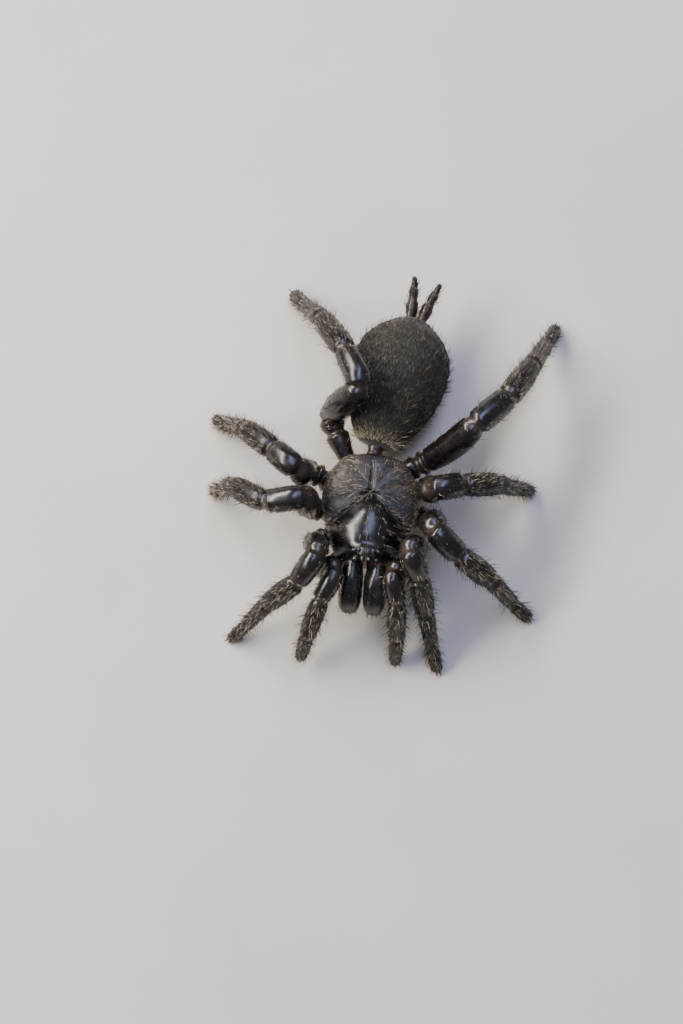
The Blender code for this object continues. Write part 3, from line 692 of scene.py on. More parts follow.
def grain_group():
    """Fine bumps, pits and slow patches of a hard cuticle, at the scale of the place given."""
    group = bpy.data.node_groups.new("cuticle grain", "ShaderNodeTree")
    sockets = group.interface
    sockets.new_socket("Place", in_out="INPUT", socket_type="NodeSocketVector")
    for name, value in (("Fine Scale", 9000.0), ("Patch Scale", 900.0), ("Pits", 0.5)):
        sockets.new_socket(name, in_out="INPUT", socket_type="NodeSocketFloat").default_value = value
    sockets.new_socket("Height", in_out="OUTPUT", socket_type="NodeSocketFloat")
    sockets.new_socket("Patches", in_out="OUTPUT", socket_type="NodeSocketFloat")
    nodes = group.nodes
    enter, leave = nodes.new("NodeGroupInput"), nodes.new("NodeGroupOutput")
    fine, patch = nodes.new("ShaderNodeTexNoise"), nodes.new("ShaderNodeTexNoise")
    pits, pit_share = nodes.new("ShaderNodeTexVoronoi"), nodes.new("ShaderNodeMath")
    add = nodes.new("ShaderNodeMath")
    fine.inputs["Detail"].default_value = 3
    patch.inputs["Detail"].default_value = 4
    pit_share.operation = "MULTIPLY"
    add.operation = "ADD"
    for texture, scale in ((fine, "Fine Scale"), (pits, "Fine Scale"), (patch, "Patch Scale")):
        link(group, enter.outputs["Place"], texture.inputs["Vector"])
        link(group, enter.outputs[scale], texture.inputs["Scale"])
    link(group, pits.outputs["Distance"], pit_share.inputs[0])
    link(group, enter.outputs["Pits"], pit_share.inputs[1])
    link(group, fine.outputs["Fac"], add.inputs[0])
    link(group, pit_share.outputs[0], add.inputs[1])
    link(group, add.outputs[0], leave.inputs["Height"])
    link(group, patch.outputs["Fac"], leave.inputs["Patches"])
    return group


def start_material(name, **constants):
    """A material with a Principled shader whose plain numbers are set on its own sockets."""
    material = bpy.data.materials.new(name)
    material.use_nodes = True
    shader = material.node_tree.nodes["Principled BSDF"]
    for socket, value in constants.items():
        shader.inputs[socket.replace("_", " ")].default_value = value
    return material, material.node_tree, shader


def add_grain(tree, fine, patches, pits=0.5):
    """The shared grain group on Object coordinates, at this material's scales."""
    place = tree.nodes.new("ShaderNodeTexCoord")
    grain = tree.nodes.new("ShaderNodeGroup")
    grain.node_tree = bpy.data.node_groups.get("cuticle grain") or grain_group()
    link(tree, place.outputs["Object"], grain.inputs["Place"])
    grain.inputs["Fine Scale"].default_value = fine
    grain.inputs["Patch Scale"].default_value = patches
    grain.inputs["Pits"].default_value = pits
    return grain


def add_bump(tree, shader, height, strength, distance):
    """Turns a height into the shader's normal."""
    bump = tree.nodes.new("ShaderNodeBump")
    bump.inputs["Strength"].default_value = strength
    bump.inputs["Distance"].default_value = distance
    link(tree, height, bump.inputs["Height"])
    link(tree, bump.outputs["Normal"], shader.inputs["Normal"])


def mixed(tree, share, first, second):
    """A colour between two, where either may be a plain colour or another node's output."""
    mix = tree.nodes.new("ShaderNodeMix")
    mix.data_type = "RGBA"
    for socket, value in ((mix.inputs["A"], first), (mix.inputs["B"], second)):
        if hasattr(value, "node"):
            link(tree, value, socket)
        else:
            socket.default_value = (*value[:3], 1)
    link(tree, share, mix.inputs["Factor"])
    return mix.outputs["Result"]


def ramp_value(tree, source, low, high, from_low=0.0, from_high=1.0):
    """A number that runs from low to high as its source does between two limits."""
    scale = tree.nodes.new("ShaderNodeMapRange")
    scale.inputs["From Min"].default_value = from_low
    scale.inputs["From Max"].default_value = from_high
    scale.inputs["To Min"].default_value = low
    scale.inputs["To Max"].default_value = high
    link(tree, source, scale.inputs["Value"])
    return scale.outputs["Result"]


def scaled_sum(tree, value, factor, term):
    """A number that is value * factor + term."""
    node = tree.nodes.new("ShaderNodeMath")
    node.operation = "MULTIPLY_ADD"
    node.inputs[1].default_value = factor
    link(tree, value, node.inputs[0])
    link(tree, term, node.inputs[2])
    return node.outputs[0]


def read_value(tree, name):
    """A number stored on the piece's points."""
    value = tree.nodes.new("ShaderNodeAttribute")
    value.attribute_name = name
    return value.outputs["Fac"]


def shell_material(name, colours, roughness, bump):
    """Glossy cuticle: black above, red-brown below, pale brown in the soft folds."""
    top, under, soft = colours
    material, tree, shader = start_material(name, Coat_Weight=0.15, Coat_Roughness=0.1,
                                            IOR=1.56)
    grain = add_grain(tree, 14000, 1300)
    body = mixed(tree, read_value(tree, "under"), top, under)
    dusty = mixed(tree, ramp_value(tree, grain.outputs["Patches"], 0, 0.35, 0.5, 0.72), body,
                  tuple(0.6 * a + 0.4 * b + 0.006 for a, b in zip(top, under)))
    whole = mixed(tree, read_value(tree, "fold"), dusty, soft)
    link(tree, whole, shader.inputs["Base Color"])
    low, high = roughness
    gloss = ramp_value(tree, grain.outputs["Patches"], low, high, 0.35, 0.7)
    duller = scaled_sum(tree, read_value(tree, "dull"), 0.32, gloss)
    link(tree, duller, shader.inputs["Roughness"])
    add_bump(tree, shader, grain.outputs["Height"], 0.5, bump)
    return material


def velvet_material(name, dark, light, pale):
    """Matt olive-black skin with slow mottling and paler book lung covers."""
    material, tree, shader = start_material(name, Sheen_Weight=0.35, Sheen_Roughness=0.4,
                                            Specular_IOR_Level=0.3)
    grain = add_grain(tree, 8000, 700)
    share = ramp_value(tree, grain.outputs["Patches"], 0, 1, 0.35, 0.7)
    skin = mixed(tree, share, dark, light)
    link(tree, mixed(tree, read_value(tree, "pale"), skin, pale), shader.inputs["Base Color"])
    link(tree, ramp_value(tree, grain.outputs["Patches"], 0.55, 0.8), shader.inputs["Roughness"])
    add_bump(tree, shader, grain.outputs["Height"], 0.6, 0.00004)
    return material


def bristle_material(name, dark, middle, bright, roughness):
    """Bristles from near black through brown to pale gold, one tone each, lighter to the tip."""
    material, tree, shader = start_material(name, Specular_IOR_Level=0.6, Roughness=roughness)
    lift = scaled_sum(tree, read_value(tree, "reach"), 0.16, read_value(tree, "tone"))
    ramp = tree.nodes.new("ShaderNodeValToRGB")
    ramp.color_ramp.elements[0].color = (*dark[:3], 1)
    ramp.color_ramp.elements[1].color = (*bright[:3], 1)
    ramp.color_ramp.elements.new(0.55).color = (*middle[:3], 1)
    link(tree, lift, ramp.inputs["Fac"])
    link(tree, ramp.outputs["Color"], shader.inputs["Base Color"])
    return material


def graded_material(name, root, tip, roughness, coat):
    """Polished horn that turns from one colour to another along the piece."""
    material, tree, shader = start_material(name, Coat_Weight=coat, Coat_Roughness=0.03, IOR=1.56)
    grain = add_grain(tree, 12000, 1800, 0.2)
    link(tree, mixed(tree, read_value(tree, "reach"), root, tip), shader.inputs["Base Color"])
    low, high = roughness
    link(tree, ramp_value(tree, grain.outputs["Patches"], low, high), shader.inputs["Roughness"])
    add_bump(tree, shader, grain.outputs["Height"], 0.25, 0.000006)
    return material


def made_once(make, name, *values):
    """The named material, made from the values the first time it is asked for."""
    return bpy.data.materials.get(name) or make(name, *values)


def black_shell(settings):
    """Cuticle of the shield, the jaws and the limbs."""
    look = settings.colours
    return made_once(shell_material, "black shell",
                     (look.shell, look.shell_under, look.joint_skin),
                     (look.gloss, look.gloss + 0.2), 0.00001)


def brown_shell(settings):
    """Cuticle of the breast plate and the spinnerets, and the soft skin below the shield."""
    look = settings.colours
    return made_once(shell_material, "brown shell",
                     (look.shell_under, look.brown, look.joint_skin), (0.26, 0.45), 0.000014)


def velvet(settings):
    """Skin of the abdomen."""
    look = settings.colours
    return made_once(velvet_material, "velvet skin", look.velvet,
                     tuple(1.7 * c for c in look.velvet), look.joint_skin)


def dark_bristle(settings):
    """Bristles of the limbs, the shield, the jaws, the spinnerets and the breast plate."""
    look = settings.colours
    return made_once(bristle_material, "dark bristle", look.bristle, look.bristle_brown,
                     look.bristle_gold, 0.34)


def velvet_bristle(settings):
    """Bristles of the abdomen, in its own tones."""
    look = settings.colours
    return made_once(bristle_material, "velvet bristle", tuple(0.8 * c for c in look.velvet),
                     look.bristle_brown, look.bristle_gold, 0.5)


# Settings

def colour(name, description, default):
    """A colour setting."""
    return FloatVectorProperty(name=name, description=description, subtype="COLOR", size=3,
                               min=0, max=1, default=default)


def size(name, description, default):
    """A length setting in metres."""
    return FloatProperty(name=name, description=description, subtype="DISTANCE", unit="LENGTH",
                         min=0, precision=6, default=default)


class SpiderColours(bpy.types.PropertyGroup):
    """Base colours"""
    shell: colour("Shell", "Glossy shell of the back and the limbs", (0.0035, 0.003, 0.0035))
    shell_under: colour("Shell below", "Red-brown shell of the sides and undersides",
                        (0.022, 0.009, 0.006))
    brown: colour("Brown shell", "Sternum, waist and spinnerets", (0.07, 0.026, 0.013))
    joint_skin: colour("Joint skin", "Soft skin in the joints and between the hips",
                       (0.12, 0.075, 0.045))
    velvet: colour("Abdomen", "Matt skin of the abdomen", (0.022, 0.021, 0.0155))
    bristle: colour("Bristle", "Dark bristles", (0.006, 0.005, 0.0045))
    bristle_brown: colour("Brown bristle", "Bristles of a middle tone", (0.1, 0.068, 0.038))
    bristle_gold: colour("Golden bristle", "Palest bristles", (0.72, 0.62, 0.42))
    fang_root: colour("Fang root", "Fangs where they leave the jaws", (0.007, 0.004, 0.004))
    fang_tip: colour("Fang tip", "Points of the fangs and claws", (0.09, 0.016, 0.008))
    eye: colour("Eye", "Lenses of the eyes", (0.02, 0.017, 0.014))
    gloss: FloatProperty(name="Shell roughness", description="Roughness of the glossiest shell",
                         subtype="FACTOR", min=0.02, max=1, default=0.2)


class SpiderCoat(bpy.types.PropertyGroup):
    """Sizes and density of the coat"""
    density: FloatProperty(name="Density", description="Share of the full count of bristles",
                           subtype="FACTOR", min=0.02, max=1, default=1)
    short: size("Short bristles", "Usual length of the coat", 0.00034)
    long: size("Long bristles", "Length of the few that stand out", 0.00085)
    spine: size("Spines", "Length of the stout spines below the legs", 0.0008)
    radius: size("Bristle radius", "Half thickness of a short bristle at its root", 0.0000122)


class SpiderStage(bpy.types.PropertyGroup):
    """Lights, floor and camera"""
    sun: FloatProperty(name="Key light", description="Power of the panel on the spider's right",
                       min=0, default=2.1)
    sky: FloatProperty(name="Sky light", description="Power of the blue panel overhead",
                       min=0, default=0.7)
    fill: FloatProperty(name="Fill light", description="Strength of the even light all round",
                        min=0, default=0.4)
    floor: colour("Floor", "Colour of the studio floor", (0.74, 0.69, 0.61))
    lens: FloatProperty(name="Lens", description="Focal length of the camera",
                        subtype="DISTANCE_CAMERA", min=20, default=135)
    elevation: FloatProperty(name="Camera height", description="Angle of the view above level",
                             subtype="ANGLE", unit="ROTATION", default=math.radians(77))
    roll: FloatProperty(name="Camera roll", description="Turn of the picture about its middle",
                        subtype="ANGLE", unit="ROTATION", default=math.radians(5))


class SpiderSettings(bpy.types.PropertyGroup):
    """All settings"""
    colours: PointerProperty(type=SpiderColours)
    coat: PointerProperty(type=SpiderCoat)
    stage: PointerProperty(type=SpiderStage)


# Body pieces

class SPIDER_OT_carapace(bpy.types.Operator):
    """Builds the shield with its rim and underside, the trunk below it and the waist"""
    bl_idname = "spider.carapace"
    bl_label = "Carapace"

    def execute(self, context):
        settings = context.scene.spider
        span = CARAPACE_FRONT - CARAPACE_REAR
        rows, sides = CARAPACE_GRID
        even = np.linspace(0, 1, rows)
        ahead = CARAPACE_REAR + span * (even - 0.8 * np.sin(2 * math.pi * even) / (2 * math.pi))
        angle = np.linspace(0, math.pi, sides)
        ahead_grid, angle_grid = np.meshgrid(ahead, angle, indexing="ij")
        top = carapace_surface(angle_grid, ahead_grid)
        under = np.linspace(-1, 1, UNDERSIDE_POINTS)[None, :]
        half = (carapace_half_width(ahead) * carapace_ends(ahead))[:, None]
        drop = RIM_DEPTH * carapace_ends(ahead)[:, None]
        arch = 0.12 * (1 - under ** 2) * carapace_ends(ahead)[:, None]
        low = np.stack([0.985 * half * under, np.repeat(ahead[:, None], UNDERSIDE_POINTS, axis=1),
                        MARGIN_Z - drop + arch], -1)
        points, faces = closed_grid(np.concatenate([top, low], axis=1))
        shell = new_mesh_object("carapace_shell", points, faces, black_shell(settings))
        across = np.abs(points[:, 0]) / np.maximum(carapace_half_width(points[:, 1]), 0.1)
        below = points[:, 2] < MARGIN_Z - 0.02
        redness = 0.55 * fade(across, 0.55, 0.98) + 0.25 * fade(-points[:, 1], -0.5, 2.6)
        inside = np.abs(points[:, 0]) / caput_half_width(points[:, 1])
        thorax = np.maximum(fade(-points[:, 1], -0.6, 0.2), fade(inside, 0.9, 1.25))
        add_values(shell, under=np.where(below, 1.0, redness), fold=np.where(below, 0.5, 0.0),
                   dull=thorax)
        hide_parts("carapace")
        self.soft_piece("trunk_skin", self.trunk_rings(), 0.4, settings)
        self.soft_piece("waist_skin", self.waist_rings(), 0.0, settings)
        return {"FINISHED"}

    def trunk_rings(self):
        """Level ovals that widen upwards from the breast plate, with eight soft ripples."""
        rows, sides = TRUNK_GRID
        levels = np.linspace(0, 1, rows)
        turn = full_turn(sides)
        grow = through((0, 0.15, 0.6, 1), (0.5, 1.05, 1.3, 1.42), levels)[:, None]
        ripple = 1 + 0.03 * np.sin(8 * turn)[None, :] * fade(levels, 0.1, 0.4)[:, None]
        return np.stack([CORE_HALF_WIDTH * grow * ripple * np.cos(turn)[None, :],
                         0.45 + 2.15 * grow ** 0.5 * ripple * np.sin(turn)[None, :],
                         np.repeat(CORE_BOTTOM_Z - 0.15 + 1.95 * levels[:, None], sides, axis=1)], -1)

    def waist_rings(self):
        """A short ringed stalk from the trunk into the front of the abdomen."""
        rows, sides = WAIST_GRID
        share = np.linspace(0, 1, rows)
        path = through((0, 0.4, 0.75, 1), WAIST_SPINE, share)
        wide = 0.56 + 0.03 * np.sin(40 * share) + 0.1 * np.abs(share - 0.5)
        return tube(path, wide, wide * 0.85, wide * 0.85, LEFT, sides)

    def soft_piece(self, name, rings, pale, settings):
        """Skin as pale as given all over."""
        points, faces = closed_grid(rings)
        piece = new_mesh_object(name, points, faces, brown_shell(settings))
        add_values(piece, under=np.full(len(points), pale), fold=np.full(len(points), pale))
        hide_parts("carapace")


def sternum_rings():
    """The breast plate with the lip plate in front and six sunken smooth spots."""
    rows, sides = STERNUM_GRID
    ahead = np.linspace(STERNUM_REAR, STERNUM_FRONT, rows)[:, None]
    half = through((-2.0, -1.75, -1.2, -0.4, 0.6, 1.5, 2.05, 2.3, 2.5, 2.75, 3.05, 3.2),
                   (0.1, 0.75, 1.1, 1.32, 1.38, 1.2, 0.9, 0.62, 0.55, 0.6, 0.5, 0.1), ahead)
    angle = full_turn(sides)
    x = half * np.cos(angle)
    rise = np.sin(angle) * np.minimum(1, 0.6 + 0.4 * half)
    z = STERNUM_Z + STERNUM_HALF_HEIGHT * rise
    for side_x, place in STERNUM_SPOTS:
        z = z + SPOT_DEPTH * bell(np.abs(x) - side_x, 0.13) * bell(ahead - place, 0.2) * (rise < 0)
    return np.stack([x, ahead + 0 * x, z], -1)


class SPIDER_OT_sternum(bpy.types.Operator):
    """Builds the breast plate with the lip plate in front and its sunken smooth spots"""
    bl_idname = "spider.sternum"
    bl_label = "Sternum"

    def execute(self, context):
        settings = context.scene.spider
        points, faces = closed_grid(sternum_rings())
        plate = new_mesh_object("sternum_plate", points, faces, brown_shell(settings))
        add_values(plate, under=0.6 * fade(np.abs(points[:, 0]), 0.3, 1.2),
                   fold=bell(points[:, 1] - 2.4, 0.1))
        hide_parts("sternum")
        return {"FINISHED"}


class SPIDER_OT_abdomen(bpy.types.Operator):
    """Builds the abdomen's velvety skin with its wrinkles, dimples and book lung covers"""
    bl_idname = "spider.abdomen"
    bl_label = "Abdomen"

    def execute(self, context):
        rows, sides = ABDOMEN_GRID
        share = np.linspace(0, 1, rows) ** 1.1
        angle = full_turn(sides)
        share_grid, angle_grid = np.meshgrid(share, angle, indexing="ij")
        points, faces = closed_grid(abdomen_surface(angle_grid, share_grid))
        skin = new_mesh_object("abdomen_skin", points, faces, velvet(context.scene.spider))
        pale = 0.8 * book_lung(angle_grid, share_grid).ravel()
        add_values(skin, pale=np.append(np.clip(pale, 0, 1), (0, 0)))
        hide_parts("abdomen")
        return {"FINISHED"}


class SPIDER_OT_jaws(bpy.types.Operator):
    """Builds the two stout jaws and the fangs folded back below them"""
    bl_idname = "spider.jaws"
    bl_label = "Jaws and fangs"

    def execute(self, context):
        settings = context.scene.spider
        look = settings.colours
        for name, hand in SIDES:
            points, faces = closed_grid(jaw_rings(hand))
            jaw = new_mesh_object(f"jaw_{name}", points, faces, black_shell(settings))
            add_values(jaw, under=0.7 * fade(4.6 - points[:, 2], -0.2, 1.2),
                       fold=0.4 * fade(5.75 - points[:, 1], 0, 0.3))
            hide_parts(f"chelicera_{name}")
            points, faces = closed_grid(fang_rings(hand))
            horn = made_once(graded_material, "fang horn", look.fang_root, look.fang_tip,
                             (0.12, 0.24), 0.5)
            fang = new_mesh_object(f"curved_fang_{name}", points, faces, horn)
            reach = np.repeat(np.linspace(0, 1, FANG_GRID[0]), FANG_GRID[1])
            add_values(fang, reach=np.append(reach, (0, 1)))
            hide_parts(f"fang_{name}")
        return {"FINISHED"}


def carapace_place(x, ahead):
    """A place on the shield's top with its normal and the two directions in the surface."""
    def place(at_x, at_ahead):
        """The shield's top as a point."""
        return np.array([at_x, at_ahead, MARGIN_Z + float(carapace_height(at_x, at_ahead))])
    across = unit(place(x + 0.15, ahead) - place(x - 0.15, ahead))
    forward = place(x, ahead + 0.15) - place(x, ahead - 0.15)
    out = unit(np.cross(across, forward))
    return place(x, ahead), out, across, np.cross(out, across)


class SPIDER_OT_eyes(bpy.types.Operator):
    """Builds the eight eyes, each a clear dome in a low collar"""
    bl_idname = "spider.eyes"
    bl_label = "Eyes"

    def execute(self, context):
        settings = context.scene.spider
        look = settings.colours
        lens = made_once(graded_material, "eye lens", look.eye, look.eye, (0.02, 0.05), 1.0)
        for name, (x, ahead, wide, long, high) in EYES.items():
            for side, hand in SIDES:
                label, base = f"{name}_{side}", carapace_place(hand * x, ahead)
                eye = self.dome(f"{label}_lens", base, (wide, long, high + 0.08),
                                (-25, LENS_GRID[0]), lens, "eye")
                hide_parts(label)
                collar = self.dome(f"{label}_collar", base, (wide * 1.28, long * 1.28, 0.11),
                                   (-40, COLLAR_ROWS), black_shell(settings), "black_shell")
                add_values(collar, under=np.zeros(len(collar.data.vertices)),
                           fold=np.zeros(len(collar.data.vertices)))
        return {"FINISHED"}

    def dome(self, name, base, sizes, rises, material, slot):
        """Half an egg: rings that shrink with the cosine of their rise and climb with its sine."""
        place, out, across, forward = base
        wide, long, high = sizes
        lowest, rows = rises
        turn = full_turn(LENS_GRID[1])[:, None]
        flat = np.cos(turn) * wide * across + np.sin(turn) * long * forward
        rings = np.array([place + high * math.sin(rise) * out + flat * math.cos(rise)
                          for rise in np.radians(np.linspace(lowest, 88, rows))])
        points, faces = closed_grid(rings)
        piece = new_mesh_object(name, points, faces, material)
        if slot == "eye":
            add_values(piece, reach=np.linspace(0, 1, len(points)))
        return piece


def spinneret_rings(name, hand):
    """A spinneret in three joints, each a little thinner, that leaves the abdomen's end."""
    rows, sides = SPINNERET_GRID
    side_from, z_from, side_to, z_to, length, radius = SPINNERETS[name]
    share = np.linspace(-0.12, 1, rows)
    onward = np.maximum(share, 0)
    path = abdomen_axis(1 + (0.3 + length * share) / ABDOMEN_LENGTH)
    path = path + (hand * (side_from + (side_to - side_from) * onward ** 1.3))[:, None] * ABDOMEN_SIDE
    path[:, 2] = z_from + (z_to - z_from) * onward ** 1.5
    wide = radius * through((-0.12, 0, 0.34, 0.38, 0.66, 0.7, 1.0),
                            (0.8, 1, 0.98, 0.86, 0.84, 0.72, 0.4), share)
    wide = wide * round_ends((share + 0.12) / 1.12, 0.02, 0.1)
    joints = bell(share - 0.36, 0.02) + bell(share - 0.68, 0.02)
    return tube(path, wide, wide, wide, ABDOMEN_SIDE, sides), joints


class SPIDER_OT_spinnerets(bpy.types.Operator):
    """Builds the two long and two short spinnerets, ringed at their joints"""
    bl_idname = "spider.spinnerets"
    bl_label = "Spinnerets"

    def execute(self, context):
        settings = context.scene.spider
        for name in SPINNERETS:
            for side, hand in SIDES:
                rings, joints = spinneret_rings(name, hand)
                points, faces = closed_grid(rings)
                piece = new_mesh_object(f"{name}_{side}_skin", points, faces, brown_shell(settings))
                add_values(piece, under=np.zeros(len(points)),
                           fold=np.append(np.repeat(joints, SPINNERET_GRID[1]), (0, 0)))
                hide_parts(f"{name}_{side}")
        return {"FINISHED"}


# Limb pieces

LIMBS = {}


def limb_of(name):
    """The surface of a named limb, worked out once: legs R1 to L4, palps R and L."""
    if name not in LIMBS:
        LIMBS[name] = Limb(name, palp=len(name) == 1)
    return LIMBS[name]


def build_limb_skin(name, settings):
    """One unbroken skin from the hip to the tip."""
    limb = limb_of(name)
    rows, sides = LIMB_GRID
    at, turn = np.meshgrid(np.linspace(0, limb.end, rows), full_turn(sides), indexing="ij")
    points, faces = closed_grid(limb.surface(at, turn))
    points[:, 2] = np.maximum(points[:, 2], SKIN_LOWEST)
    skin = new_mesh_object(f"{limb.label}_skin", points, faces, black_shell(settings))
    belly = 0.5 - 0.5 * np.sin(turn)
    under = np.append((0.15 + 0.75 * fade(belly, 0.35, 0.9)).ravel(), (0.5, 0.5))
    hip = 0.75 * fade(limb.joint_at[1] + 0.3 - at, 0, 0.6)
    fold = np.append((limb.fold(at) * (0.2 + 0.45 * belly) + hip * belly).clip(0, 1).ravel(), (0, 0))
    add_values(skin, under=under, fold=fold)
    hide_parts(*(f"{limb.label}_{part}" for part in limb.parts))


class SPIDER_OT_legs(bpy.types.Operator):
    """Builds the skins of the eight legs"""
    bl_idname = "spider.legs"
    bl_label = "Legs"

    def execute(self, context):
        for name in LEG_POSES:
            build_limb_skin(name, context.scene.spider)
        return {"FINISHED"}


class SPIDER_OT_palps(bpy.types.Operator):
    """Builds the skins of the two palps"""
    bl_idname = "spider.palps"
    bl_label = "Palps"

    def execute(self, context):
        for name in PALP_POSES:
            build_limb_skin(name, context.scene.spider)
        return {"FINISHED"}


class SPIDER_OT_claws(bpy.types.Operator):
    """Builds the claws: two curved ones and a small one below on each leg, one on each palp"""
    bl_idname = "spider.claws"
    bl_label = "Claws"

    def execute(self, context):
        look = context.scene.spider.colours
        horn = made_once(graded_material, "claw horn", look.fang_root, look.fang_tip, (0.15, 0.3),
                         0.4)
        rows, sides = CLAW_GRID
        share = np.linspace(0, 1, rows)
        for name in LIMB_NAMES:
            limb = limb_of(name)
            centre, slope, across = (v[0] for v in limb.frame_at(np.array([limb.end - 0.16]))[:3])
            level = unit(np.array((slope[0], slope[1], 0)))
            for number, (aside, arch, long) in enumerate(PALP_CLAWS if limb.palp else LEG_CLAWS):
                path = (centre + (0.7 * aside + 0.9 * aside * share)[:, None] * across
                        + (long * share)[:, None] * level
                        + (arch * 0.8 * share * (1.15 - share) - 0.1 * share)[:, None] * UP)
                path[:, 2] = np.maximum(path[:, 2] + 0.1 * (1 - share), 0.09 - 0.06 * share)
                radius = 0.075 * (1 - share) ** 0.7 + 0.006
                points, faces = closed_grid(tube(path, radius, radius, radius, across, sides))
                points[:, 2] = np.maximum(points[:, 2], CLAW_LOWEST)
                claw = new_mesh_object(f"{limb.label}_claw_{number + 1}", points, faces, horn)
                add_values(claw, reach=np.append(np.repeat(share, sides), (0, 1)))
        return {"FINISHED"}


# Coat: the most bristles that stay on each piece

LEG_BRISTLES = 4600
PALP_BRISTLES = 3600
ABDOMEN_HALF_BRISTLES = 11500
CARAPACE_BRISTLES = 4200
JAW_BRISTLES = 700
SPINNERET_BRISTLES = (750, 160)
STERNUM_BRISTLES = 700
# Seeds of the random draws: a piece's first one, from which those of its later draws are counted
LIMB_SEED = 100
LIMB_SPINE_SEED = 105
ABDOMEN_SEED = 700
CARAPACE_SEED = 800
JAW_SEED = 810
SPINNERET_SEED = 850
STERNUM_SEED = 890
# Spines: place counted in joints, and the row, to one side or the other of the belly line
SPINE_PLACES = ((3.25, -1), (3.5, 1), (3.75, -1), (3.9, 1), (4.2, -1), (4.35, 1), (4.55, -1),
                (4.7, 1), (4.9, -1), (4.93, 1), (5.2, -1), (5.4, 1), (5.6, -1))


def kept(weights, count, seed):
    """Which of the tries are kept: each one's chance is its weight, and count at most stay."""
    tries = np.random.default_rng(seed).random(len(weights))
    return np.nonzero(tries < weights)[0][:count]


def lengths_and_lifts(count, seed, coat, share_long):
    """Most bristles short and low, and a few long and steep."""
    size_of, lift, bend, pick = scatter(count, seed, (0.7, 24, 0.45, 0), (1.3, 44, 0.95, 1)).T
    is_long = pick < share_long
    lengths = size_of * np.where(is_long, coat.long, coat.short) / MM
    radii = coat.radius / MM * np.where(is_long, 1.45, 1.0) * (0.8 + 0.4 * size_of / 1.3)
    lifts = np.radians(np.where(is_long, lift + 30, lift))
    return lengths, radii, lifts, np.where(is_long, 0.4 * bend, bend)


def limb_coat(name, settings, seed):
    """Bristles lie towards the limb's tip. The backs of femur and patella stay nearly bare."""
    limb, coat = limb_of(name), settings.coat
    count = int((PALP_BRISTLES if limb.palp else LEG_BRISTLES) * coat.density)
    at, angle, tint, sway = scatter(4 * count, seed, (0.2, 0, 0, -0.35),
                                    (limb.end - 0.05, 2 * math.pi, 1, 0.35)).T
    joint = np.interp(at, limb.length, limb.counts)
    back = np.clip(np.sin(angle), 0, 1)
    bare_femur = 0.9 * fade(back, 0.45, 0.75) * fade(joint, 0.9, 1.15) * fade(-joint, -1.95, -1.8)
    bare_patella = 0.8 * fade(back, 0.55, 0.85) * fade(joint, 1.95, 2.1) * fade(-joint, -2.95, -2.8)
    full = through((0, 0.8, 1.2, 2, 3, 3.3, 6), (0.3, 0.35, 0.4, 0.5, 0.8, 1, 1), joint)
    chance = full * (1 - bare_femur - bare_patella) * (1 - 0.9 * limb.fold(at))
    pick = kept(np.clip(chance, 0, 1), count, seed + 1)
    at, angle, tint, sway, joint, back = (v[pick] for v in (at, angle, tint, sway, joint, back))
    roots, normals = limb.surface(at, angle), limb.normal(at, angle)
    slope = limb.frame_at(at)[1]
    leans = slope + sway[:, None] * np.cross(slope, normals)
    lengths, radii, lifts, bends = lengths_and_lifts(len(pick), seed + 2, coat, 0.09)
    lengths = lengths * (0.7 + 0.3 * fade(joint, 2.5, 3.4)
                         - 0.35 * fade(joint, limb.last - 1, limb.last))
    lengths = lengths * (1 - 0.45 * fade(back, 0.7, 1) * fade(-joint, -2.9, -2.6))
    rim = limb.rim(at)
    tones = np.clip(0.16 * tint ** 3 + 0.65 * (tint > 0.8) + 0.4 * rim * (tint > 0.6), 0, 1)
    roots[:, 2] = np.maximum(roots[:, 2], SKIN_LOWEST)
    spots = np.stack([at / limb.end, angle / (2 * math.pi)], -1)
    bristle_mesh(f"{limb.label}_coat", roots - ROOT_DEPTH * normals, normals, leans, lengths,
                 radii, lifts, bends, spots, tones, dark_bristle(settings))


def limb_spines(name, settings, seed):
    """Stout black spines below tibia and foot, in two rows and at the joints."""
    limb, coat = limb_of(name), settings.coat
    places = np.array([spot for spot in SPINE_PLACES if spot[0] < limb.last - 0.3])
    shift = scatter(len(places), seed, (-0.06, -0.2, 0.85), (0.06, 0.2, 1.15))
    at = np.interp(places[:, 0] + shift[:, 0], limb.counts, limb.length)
    angle = np.radians(270 + 48 * places[:, 1]) + shift[:, 1]
    roots, normals = limb.surface(at, angle), limb.normal(at, angle)
    lengths = coat.spine / MM * shift[:, 2] * (0.9 if limb.palp else 1)
    room = np.clip(roots[:, 2] / 0.8, 0.3, 1)
    bristle_mesh(f"{limb.label}_spines", roots - SPINE_ROOT_DEPTH * normals, normals,
                 limb.frame_at(at)[1], lengths * room, np.full(len(at), SPINE_RADIUS),
                 np.radians(35 * room), np.full(len(at), 0.6),
                 np.stack([at / limb.end, angle / 7], -1), np.zeros(len(at)), dark_bristle(settings))


class SPIDER_OT_limb_coats(bpy.types.Operator):
    """Grows the bristles and spines of the legs and palps"""
    bl_idname = "spider.limb_coats"
    bl_label = "Limb bristles"

    def execute(self, context):
        for number, name in enumerate(LIMB_NAMES):
            limb_coat(name, context.scene.spider, LIMB_SEED + 10 * number)
            limb_spines(name, context.scene.spider, LIMB_SPINE_SEED + 10 * number)
        return {"FINISHED"}


